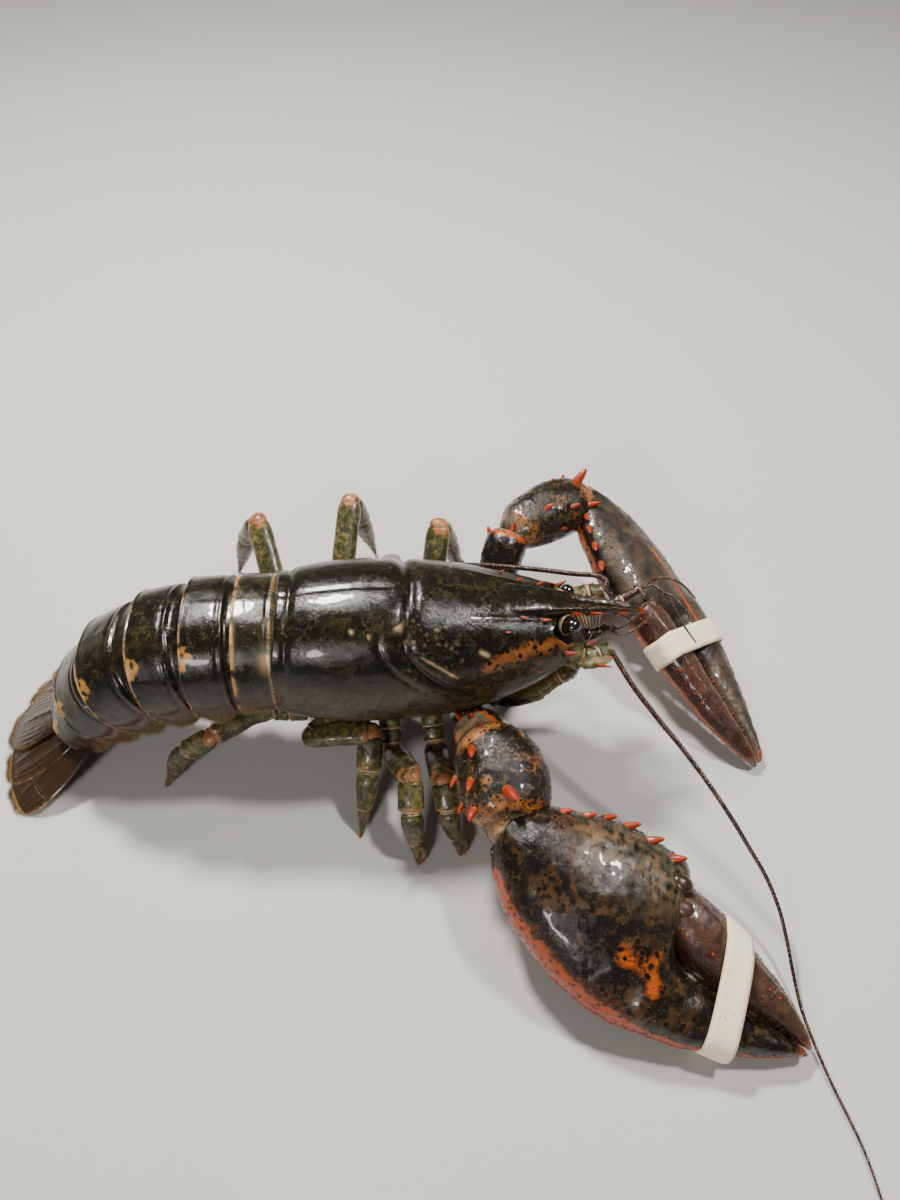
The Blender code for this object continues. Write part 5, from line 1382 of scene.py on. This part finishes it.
def build_thumb(name, claw, form, crusher):
    """A claw's moving finger."""
    _, along, inner, _, _ = claw
    thumb, table = Shape(), form["thumb"]
    rings, share, turn, bumps = claw_rings(claw, table, 170, 120, ((0.28, 7, 6), (0.16, 3, 7), (0.08, 1.3, 8)))
    around = np.degrees(turn)
    near = (around + 180) % 360 - 180
    start = table[0][0]
    tail = ease(share, start + 0.04, start + 0.12)
    bumps = bumps + 0.45 * hump(around, 62, 9) * tail * ease(share, 0.98, 0.85)
    rings = rings + outward(rings) * bumps[..., None]
    under = ease(-np.sin(turn), 0.25, 0.85)
    tip = ease(share, 0.965, 1)
    spine = 0.3 * ease(share, 0.94, 1)
    if crusher:
        warm = 0.8 * under + 0.3 * hump(near, -10, 16) * tail
        pale = 0.08 * hump(around, 80, 45) + 0.45 * tip
        spine = 0.03 + spine
    else:
        warm = 0.95 * hump(near, -30, 15) * tail + 0.55 * under
        pale = 0.03 + 0.5 * tip + 0.04 * hump(around, 90, 40)
        spine = 0.05 + 0.03 * lumps(rings, 4, 3) + 0.25 * hump(near, -30, 12) * tail + spine
    warm = warm + 0.25 * hump(share, start + 0.04, 0.03) + 0.3 * ease(share, 0.85, 1)
    grain = np.clip(0.4 + 0.8 * hump(np.cos(turn), 1, 0.5), 0, 1) * ease(share, 0.99, 0.9)
    hair = 0.8 * hump(np.cos(turn), -1, 0.25) * ease(share, 0.56, 0.62) * (0.25 if crusher else 1)
    thumb.grid(rings, (warm, pale, spine), hair, along * 0.3 - inner, grain)
    add_teeth(thumb, claw, table, False, crusher, 0.5)
    wide = 3 if crusher else 2
    for degrees in (88, -88):
        base, lean = claw_spot(claw, table, start + 0.06, degrees)
        thumb.knob(base - lean * 0.8, lean, wide * 0.7, wide, 0.05, 0.05, 20, 1.25, along)
    for number in range(11):
        stray = math.sin(number * 2.4)
        degrees = (118 - 5 * number if crusher else 14) + 9 * stray
        spot = start + 0.07 + 0.036 * number + 0.01 * math.cos(number * 3.7)
        base, lean = claw_spot(claw, table, spot, degrees)
        thumb.knob(base - lean * 0.3, lean, 0.95 + 0.3 * stray, 0.62 + 0.2 * stray, 0.75, 0, 10)
    end_claw(thumb, "claw_thumb_" + name, "thumb_shell", crusher, 0.45, 4, 0.25)


def build_band(name, claw, form):
    """A flat rubber band stretched over the palm's finger and the thumb, tight on their outline."""
    wrist, along, inner, face, length = claw
    lean, half_band = form["lean"], bpy.context.scene.lobster_sizes.band_width / MM / 2
    cloud = []
    for part in ("palm", "thumb"):
        mesh = bpy.data.objects[f"shell_claw_{part}_{name}"].data
        places = np.empty(len(mesh.vertices) * 3)
        mesh.vertices.foreach_get("co", places)
        cloud.append(places.reshape(-1, 3) / MM - MODEL_SHIFT)
    spot = wrist + along * (form["band"] * length)
    cloud = np.concatenate(cloud) - spot
    aside, deep = cloud @ inner, cloud @ face
    slid = cloud @ along - lean * aside
    aside = aside * math.hypot(1, lean)
    slant = unit(inner + along * lean)
    sides = 160
    turn = full_turn(sides)
    aim = np.stack((np.cos(turn), np.sin(turn)), axis=1)
    tangent = np.stack((-np.sin(turn), np.cos(turn)), axis=1)
    outlines = []
    places = np.linspace(-half_band, half_band, 9)
    for place in places:
        near = np.abs(slid - place) < 1.2
        reach = (np.stack((aside[near], deep[near]), axis=1) @ aim.T).max(axis=0)
        for _ in range(6):
            reach = (np.roll(reach, 1) + reach * 2 + np.roll(reach, -1)) / 4
        outlines.append(reach)
    outlines = np.array(outlines)
    outlines = (outlines + outlines.mean(axis=0)) / 2 + 0.25
    wave = 0.25 * np.sin(turn * 3 + 1.3) + 0.15 * np.sin(turn * 5)
    rows = []
    for i, outside in [(0, 0)] + [(i, 1) for i in range(9)] + [(i, 0) for i in range(8, 0, -1)]:
        edge = outside and i in (0, 8)
        reach = outlines[i] + (BAND_WALL - 0.28 * edge) * outside
        slope = (np.roll(reach, -1) - np.roll(reach, 1)) / (4 * math.pi / sides)
        flat = aim * reach[:, None] + tangent * slope[:, None]
        shift = places[i] * (1.02 if edge else 1) + wave
        rows.append(spot + np.outer(flat[:, 0], slant) + np.outer(flat[:, 1], face) + np.outer(shift, along))
    turned = np.array(rows).transpose(1, 0, 2)
    turned[..., 2] = np.maximum(turned[..., 2], FLOOR_GAP)
    edges = np.zeros(len(rows))
    edges[[0, 1, 9, 10]] = 0.8
    band = Shape()
    band.grid(np.concatenate((turned, turned[:1])), (edges,))
    made = band.finish("rubber_band_" + name, "rubber_band", kept=False)
    body = bmesh.new()
    body.from_mesh(made.data)
    bmesh.ops.delete(body, geom=[cap for cap in body.faces if len(cap.verts) == 3], context="FACES")
    bmesh.ops.remove_doubles(body, verts=body.verts, dist=0.01 * MM)
    bmesh.ops.delete(body, geom=[vert for vert in body.verts if not vert.link_faces], context="VERTS")
    bmesh.ops.recalc_face_normals(body, faces=body.faces)
    body.to_mesh(made.data)
    body.free()
    settle(made, "claw_band_" + name)


def arm_spines(shape, start, end, table, depth, outwards):
    """Blunt spines round a claw arm's segment, leaning towards its far end."""
    along = unit(end - start)
    side = unit(np.cross(along, UP)) * outwards
    size = bpy.context.scene.lobster_sizes.spine_share
    for share, lift, aside, big in table:
        lean = unit(UP * lift + side * aside)
        root = start + (end - start) * share + lean * (depth - 1)
        shape.spine(root, lean + along * 0.85, 5.2 * big * size, 1.55 * big, along * 0.15, 1, 16, 0.6, 0, 0.8)


def build_claw_arm(name):
    """The three segments that carry a claw, with their spines and the skin at the wrist."""
    root, hip, elbow, wrist, tip = joints_of(CLAW_LEGS, name)
    crusher = name == "right"
    big = 1 if crusher else 0.92
    shape = Shape()
    rings, share, _ = limb_rings(root, hip, HIP_SIZES, 60, 40, 11)
    shape.grid(rings, (0.5 * hump(share, 0.93, 0.08), 0.5 * ease(share, 0.5, 0.9)))
    shape.finish("shell_claw_hip_" + name, "claw_shell", "claw_hip_" + name, "claw_shell")

    shape = Shape()
    sizes = [(share, wide * big, deep * big) for share, wide, deep in ARM_SIZES]
    rings, share, turn = limb_rings(hip, elbow, sizes, 84, 80, 13, bow=1)
    warm = 0.7 * hump(share, 0.95, 0.05) + 0.5 * ease(-np.sin(turn), 0.4, 0.9) + 0.25 * hump(share, 0.6, 0.2)
    shape.grid(rings, (warm, 0.4 * hump(share, 1, 0.03)), grain=0.5 + 0.5 * ease(share, 0.5, 0.9))
    arm_spines(shape, hip, elbow, ARM_SPINES, 8.2 * big, 1 if crusher else -1)
    piece = shape.finish("shell_claw_arm_" + name, "claw_shell", "claw_arm_" + name, "claw_shell")
    grains("claw_arm_" + name, piece, 0.2, 0.45, GRAIN_SEEDS["arm"] + crusher, "claw_shell")

    shape = Shape()
    sway = -4.5 if crusher else -1
    rings, share, turn = limb_rings(elbow, wrist, ELBOW_SIZES[name], 110, 100, 15, 0.4, 1, sway)
    warm = 0.35 * hump(share, 0.92, 0.08) + 0.25 * hump(share, 0.1, 0.08) + 0.8 * ease(-np.sin(turn), 0.3, 0.9)
    warm = np.clip(warm + 0.25 + 0.28 * lumps(rings, 5, 21), 0, 1)
    grain = np.clip(0.4 + 0.6 * hump(np.abs(np.cos(turn)), 1, 0.6), 0, 1)
    shape.grid(rings, (warm, 0.3 * hump(share, 1, 0.03) + 0.3 * hump(share, 0.04, 0.06)), grain=grain)
    arm_spines(shape, elbow, wrist, ELBOW_SPINES, 14.5 if crusher else 12, 1)
    joint = [wrist - unit(wrist - elbow) * 5, wrist, wrist + unit(tip - wrist) * 5]
    fold = np.linspace(0, 1, 30)
    wide = (8.6 if crusher else 7) * (0.9 + 0.1 * np.sin(fold * math.pi))
    crease = 0.15 * np.sin(fold * 40)
    shape.grid(rings_along(joint, wide + crease, wide * 0.85 + crease, fold, 48)[0], (0.5, 0.25))
    piece = shape.finish("shell_claw_elbow_" + name, "elbow_shell", "claw_elbow_" + name, "claw_shell")
    grains("claw_elbow_" + name, piece, 0.2, 0.5, GRAIN_SEEDS["elbow"] + crusher, "elbow_shell")


# Walking legs
def build_walking_leg(name, number):
    """A walking leg of six segments with its joint skins, ending in a bristled point or a small pincer."""
    root, hip, knee, ankle, toe = joints_of(WALKING_LEGS, name)
    up = (1, 0, 0.2)
    path = path_through([root, hip, (hip + knee) / 2, knee])
    size = through([(0, 4.6), (0.22, 4.4), (0.32, 4.1), (0.42, 4.9), (0.7, 5.3), (0.92, 5.1), (1, 4.3)])
    shape = Shape()
    for index, (start, stop, rows) in enumerate(((0, 0.17, 22), (0.18, 0.33, 22), (0.345, 0.995, 64))):
        segment(shape, path, size, start, stop, 34, up, 0.75, 0.07, rows, 0.05, None, number * 3 + index, 0.14)
    for share in (0.175, 0.337):
        membrane(shape, path, size, share, 0.03, 28, up, 0.75)
    shape.finish("shell_leg_upper_" + name, "leg_shell", "leg_upper_" + name, "leg_shell")

    shape = Shape()
    knuckle = [knee - (knee - hip) * 0.1, knee, knee + (ankle - knee) * 0.22]
    bulge = (2 * np.linspace(0, 1, 24) - 1) ** 2
    rings = rings_along(knuckle, 3.3 - 1.2 * bulge, 4.3 - 1.4 * bulge, 24, 30, up, 2.2)[0]
    rings = roughened(rings, ((0.22, 1.6, number),))
    peach = 0.62 + 0.4 * lumps(rings, 1.5, number + 2)
    shape.grid(rings, (peach, 0.3 * ease(lumps(rings, 1.2, number + 5), 0, 0.6)))
    path = path_through([knee, ankle, (ankle + toe) / 2, toe])
    size = [(0, 4), (0.1, 5), (0.3, 5), (0.38, 4.3), (0.48, 4.4), (0.66, 3.4), (0.8, 2), (0.97, 0.8), (1, 0.4)]
    end = 0.74 if name in PINCER_LEGS else 0.72
    for index, (start, stop, sides, flare, rows, hair, rough, tip) in enumerate((
        (0.02, 0.34, 34, 0.07, 34, 0.05, 0.14, 0),
        (0.36, end, 34, 0.05, 40, 0.35, 0.12, 0),
        (end + 0.01, 1, 28, 0, 34, 1, 0.05, 0.75),
    )):
        seed = number * 3 + 30 + index
        segment(shape, path, size, start, stop, sides, up, 0.75, flare, rows, hair, None, seed, rough, tip)
    for share in (0.35, end + 0.005):
        membrane(shape, path, size, share, 0.03, 26, up, 0.75)
    if name in PINCER_LEGS:
        aside = unit(np.cross(unit(toe - ankle), (0, 1, 0)))
        start = (ankle + toe) / 2
        finger = path_through([start, start + (toe - start) * 0.45 + aside * 2.6, toe + aside * 1.3 + (0, 0, 1.5)])
        size = [(0, 2.3), (0.6, 1.2), (0.95, 0.6), (1, 0.3)]
        segment(shape, finger, size, 0, 1, 22, up, 1, 0, 30, 1, None, number, 0.04, 0.7)
    for places in shape.places:
        places[:, 2] = np.maximum(places[:, 2], TOE_GAP)
    piece = shape.finish("shell_leg_lower_" + name, "leg_shell", "leg_lower_" + name, "leg_shell")
    bristles("leg_" + name, piece, 3.2, 1.5, 0.045, BRISTLE_SEEDS["leg"] + number)


# Stage
def aim_at(item, place, way):
    """Sets an object at a place, looking one way."""
    item.location = place
    item.rotation_mode = "QUATERNION"
    item.rotation_quaternion = way.to_track_quat("-Z", "Y")


def build_stage():
    """A plain pale floor, soft studio lights, and the camera at the photo's viewing angle."""
    stage = bpy.context.scene.lobster_stage
    mesh = bpy.data.meshes.new("floor")
    corners = ((-1, -1), (1, -1), (1, 1), (-1, 1))
    mesh.from_pydata([(x * FLOOR_REACH, y * FLOOR_REACH, 0) for x, y in corners], [], [(0, 1, 2, 3)])
    made = Finish("lobster_floor", 0, 0.3, 0.3)
    cloud = made.noise(0.01, 3)
    pale = tuple(stage.floor_colour)
    mesh.materials.append(made.done(made.mix(cloud, pale, darker(pale, 0.96)), 0.6 + cloud * 0.1))
    new_object("floor", mesh)
    world = bpy.data.worlds.new("studio")
    world.use_nodes = True
    surroundings = world.node_tree.nodes["Background"].inputs
    put(surroundings["Color"], (1, 0.98, 0.95))
    put(surroundings["Strength"], stage.world_light)
    bpy.context.scene.world = world
    for name, place, size, power, colour in LIGHTS:
        light = bpy.data.lights.new(name, "AREA")
        light.shape, light.size = "DISK", size
        light.energy, light.color = power * stage.light_power, colour
        aim_at(new_object(name, light), place, LIT_PLACE - Vector(place))
    camera = new_object("camera", bpy.data.cameras.new("camera"))
    camera.data.lens, camera.data.sensor_width = stage.lens, 36
    camera.data.clip_start, camera.data.clip_end = 0.02, 20
    aim_at(camera, Vector(CAMERA_PLACE) * MM, Vector(CAMERA_AIM))
    bpy.context.scene.camera = camera


# Settings
def share_of(name, description, low, high):
    """A share of what the tables say."""
    return FloatProperty(name=name, description=description, default=1, min=low, max=high)


def metres(name, description, default):
    """A length setting."""
    return FloatProperty(name=name, description=description, default=default, unit="LENGTH")


def tone(name, description, default):
    """A colour setting."""
    return FloatVectorProperty(
        name=name, description=description, subtype="COLOR", size=3, default=default, min=0, max=1
    )


class LobsterSizes(bpy.types.PropertyGroup):
    """Sizes that a user would change."""

    eye_radius: metres("Eye radius", "Radius of each eye", 0.0032)
    spine_share: share_of("Spine length", "Length of spines, as a share", 0.3, 1.5)
    bristle_share: share_of("Bristles", "Number of bristles, as a share", 0.1, 2)
    bead_pitch: metres("Feeler ring", "Length of a feeler's ring", 0.00115)
    band_width: metres("Band width", "Width of the rubber bands", 0.011)


class LobsterColours(bpy.types.PropertyGroup):
    """Colours that a user would change."""

    shell_dark: tone("Shell", "Darkest colour of the back", (0.0048, 0.0047, 0.0028))
    shell_olive: tone("Shell mottle", "Olive mottles of the back", (0.017, 0.014, 0.0052))
    shell_speck: tone("Shell specks", "Small light specks", (0.075, 0.06, 0.022))
    flank: tone("Flank", "Lower sides of the shell", (0.052, 0.038, 0.012))
    cheek: tone("Cheek", "Orange brown of the head's sides", (0.24, 0.08, 0.019))
    tail_margin: tone("Tail margins", "Gold rear edges of the tail's rings", (0.42, 0.2, 0.045))
    warm: tone("Margins", "Orange margins and patches of the claws", (0.44, 0.082, 0.008))
    spine: tone("Spines", "Spines and knobs", (0.25, 0.021, 0.0035))
    membrane: tone("Joint skin", "Pale skin in the joints", (0.44, 0.29, 0.15))
    flesh_deep: tone("Deep skin", "Folds of the soft skin", (0.075, 0.042, 0.02))
    claw_dark: tone("Claw", "Darkest colour of the claws", (0.006, 0.0045, 0.0035))
    claw_brown: tone("Claw mottle", "Brown mottles of the claws", (0.034, 0.023, 0.01))
    leg_dark: tone("Legs, dark", "Darkest colour of the legs", (0.03, 0.032, 0.012))
    leg: tone("Legs", "Olive tan of the legs", (0.15, 0.122, 0.038))
    eye: tone("Eyes", "Colour of the eyes", (0.003, 0.002, 0.0018))
    band: tone("Bands", "Colour of the rubber bands", (0.8, 0.72, 0.5))
    bristle: tone("Bristles", "Colour of the bristles", (0.23, 0.15, 0.062))


class LobsterStage(bpy.types.PropertyGroup):
    """Light, floor and camera."""

    floor_colour: tone("Floor", "Colour of the floor", (0.46, 0.45, 0.43))
    light_power: FloatProperty(name="Light", description="Power of the main lamp", default=23, unit="POWER")
    world_light: FloatProperty(name="Surroundings", description="Strength of the soft surrounding light", default=0.12)
    lens: FloatProperty(name="Lens", description="Focal length in millimetres", default=28.2, subtype="DISTANCE_CAMERA")


# Operators
class LOBSTER_OT_carapace(bpy.types.Operator):
    """Builds the carapace with its beak and spines"""

    bl_idname = "lobster.carapace"
    bl_label = "Carapace"

    def execute(self, context):
        build_carapace()
        return {"FINISHED"}


class LOBSTER_OT_skin(bpy.types.Operator):
    """Builds the soft skin of the underside"""

    bl_idname = "lobster.skin"
    bl_label = "Underside skin"

    def execute(self, context):
        build_skin()
        return {"FINISHED"}


class LOBSTER_OT_abdomen(bpy.types.Operator):
    """Builds the six rings of the abdomen with their side plates and swimming limbs"""

    bl_idname = "lobster.abdomen"
    bl_label = "Abdomen"

    def execute(self, context):
        frames = somite_frames()
        for index in range(len(SOMITES)):
            build_somite(index, frames)
        return {"FINISHED"}


class LOBSTER_OT_tail_fan(bpy.types.Operator):
    """Builds the telson and the plates beside it"""

    bl_idname = "lobster.tail_fan"
    bl_label = "Tail fan"

    def execute(self, context):
        build_tail_fan(somite_frames())
        return {"FINISHED"}


class LOBSTER_OT_head(bpy.types.Operator):
    """Builds the eyes and the mouth limbs"""

    bl_idname = "lobster.head"
    bl_label = "Eyes and mouth limbs"

    def execute(self, context):
        build_eyes()
        build_mouth_limbs()
        return {"FINISHED"}


class LOBSTER_OT_feelers(bpy.types.Operator):
    """Builds the long and the short feelers"""

    bl_idname = "lobster.feelers"
    bl_label = "Feelers"

    def execute(self, context):
        build_feelers()
        return {"FINISHED"}


class LOBSTER_OT_claws(bpy.types.Operator):
    """Builds the arms, the claws and their rubber bands"""

    bl_idname = "lobster.claws"
    bl_label = "Claws and bands"

    def execute(self, context):
        for name in CLAW_LEGS:
            build_claw_arm(name)
            build_claw(name)
        return {"FINISHED"}


class LOBSTER_OT_legs(bpy.types.Operator):
    """Builds the eight walking legs"""

    bl_idname = "lobster.legs"
    bl_label = "Walking legs"

    def execute(self, context):
        for number, name in enumerate(WALKING_LEGS):
            build_walking_leg(name, number)
        return {"FINISHED"}


class LOBSTER_OT_stage(bpy.types.Operator):
    """Builds the floor, the lights and the camera"""

    bl_idname = "lobster.stage"
    bl_label = "Stage"

    def execute(self, context):
        build_stage()
        return {"FINISHED"}


OPERATORS = (
    LOBSTER_OT_carapace, LOBSTER_OT_skin, LOBSTER_OT_abdomen, LOBSTER_OT_tail_fan, LOBSTER_OT_head,
    LOBSTER_OT_feelers, LOBSTER_OT_claws, LOBSTER_OT_legs, LOBSTER_OT_stage,
)


class LOBSTER_PT_panel(bpy.types.Panel):
    """The lobster's settings and steps"""

    bl_idname = "LOBSTER_PT_panel"
    bl_label = "Lobster"
    bl_space_type = "VIEW_3D"
    bl_region_type = "UI"
    bl_category = "Lobster"

    def draw(self, context):
        for group in (context.scene.lobster_sizes, context.scene.lobster_colours, context.scene.lobster_stage):
            box = self.layout.box()
            for key in group.__annotations__:
                box.prop(group, key)
        for operator in OPERATORS:
            self.layout.operator(operator.bl_idname)


CLASSES = (LobsterSizes, LobsterColours, LobsterStage, *OPERATORS, LOBSTER_PT_panel)


def register():
    for item in CLASSES:
        bpy.utils.register_class(item)
    bpy.types.Scene.lobster_sizes = PointerProperty(type=LobsterSizes)
    bpy.types.Scene.lobster_colours = PointerProperty(type=LobsterColours)
    bpy.types.Scene.lobster_stage = PointerProperty(type=LobsterStage)


def unregister():
    del bpy.types.Scene.lobster_stage
    del bpy.types.Scene.lobster_colours
    del bpy.types.Scene.lobster_sizes
    for item in reversed(CLASSES):
        bpy.utils.unregister_class(item)


def main():
    register()
    for operator in OPERATORS:
        getattr(bpy.ops.lobster, operator.bl_idname.split(".")[1])()


if __name__ == "__main__":
    main()
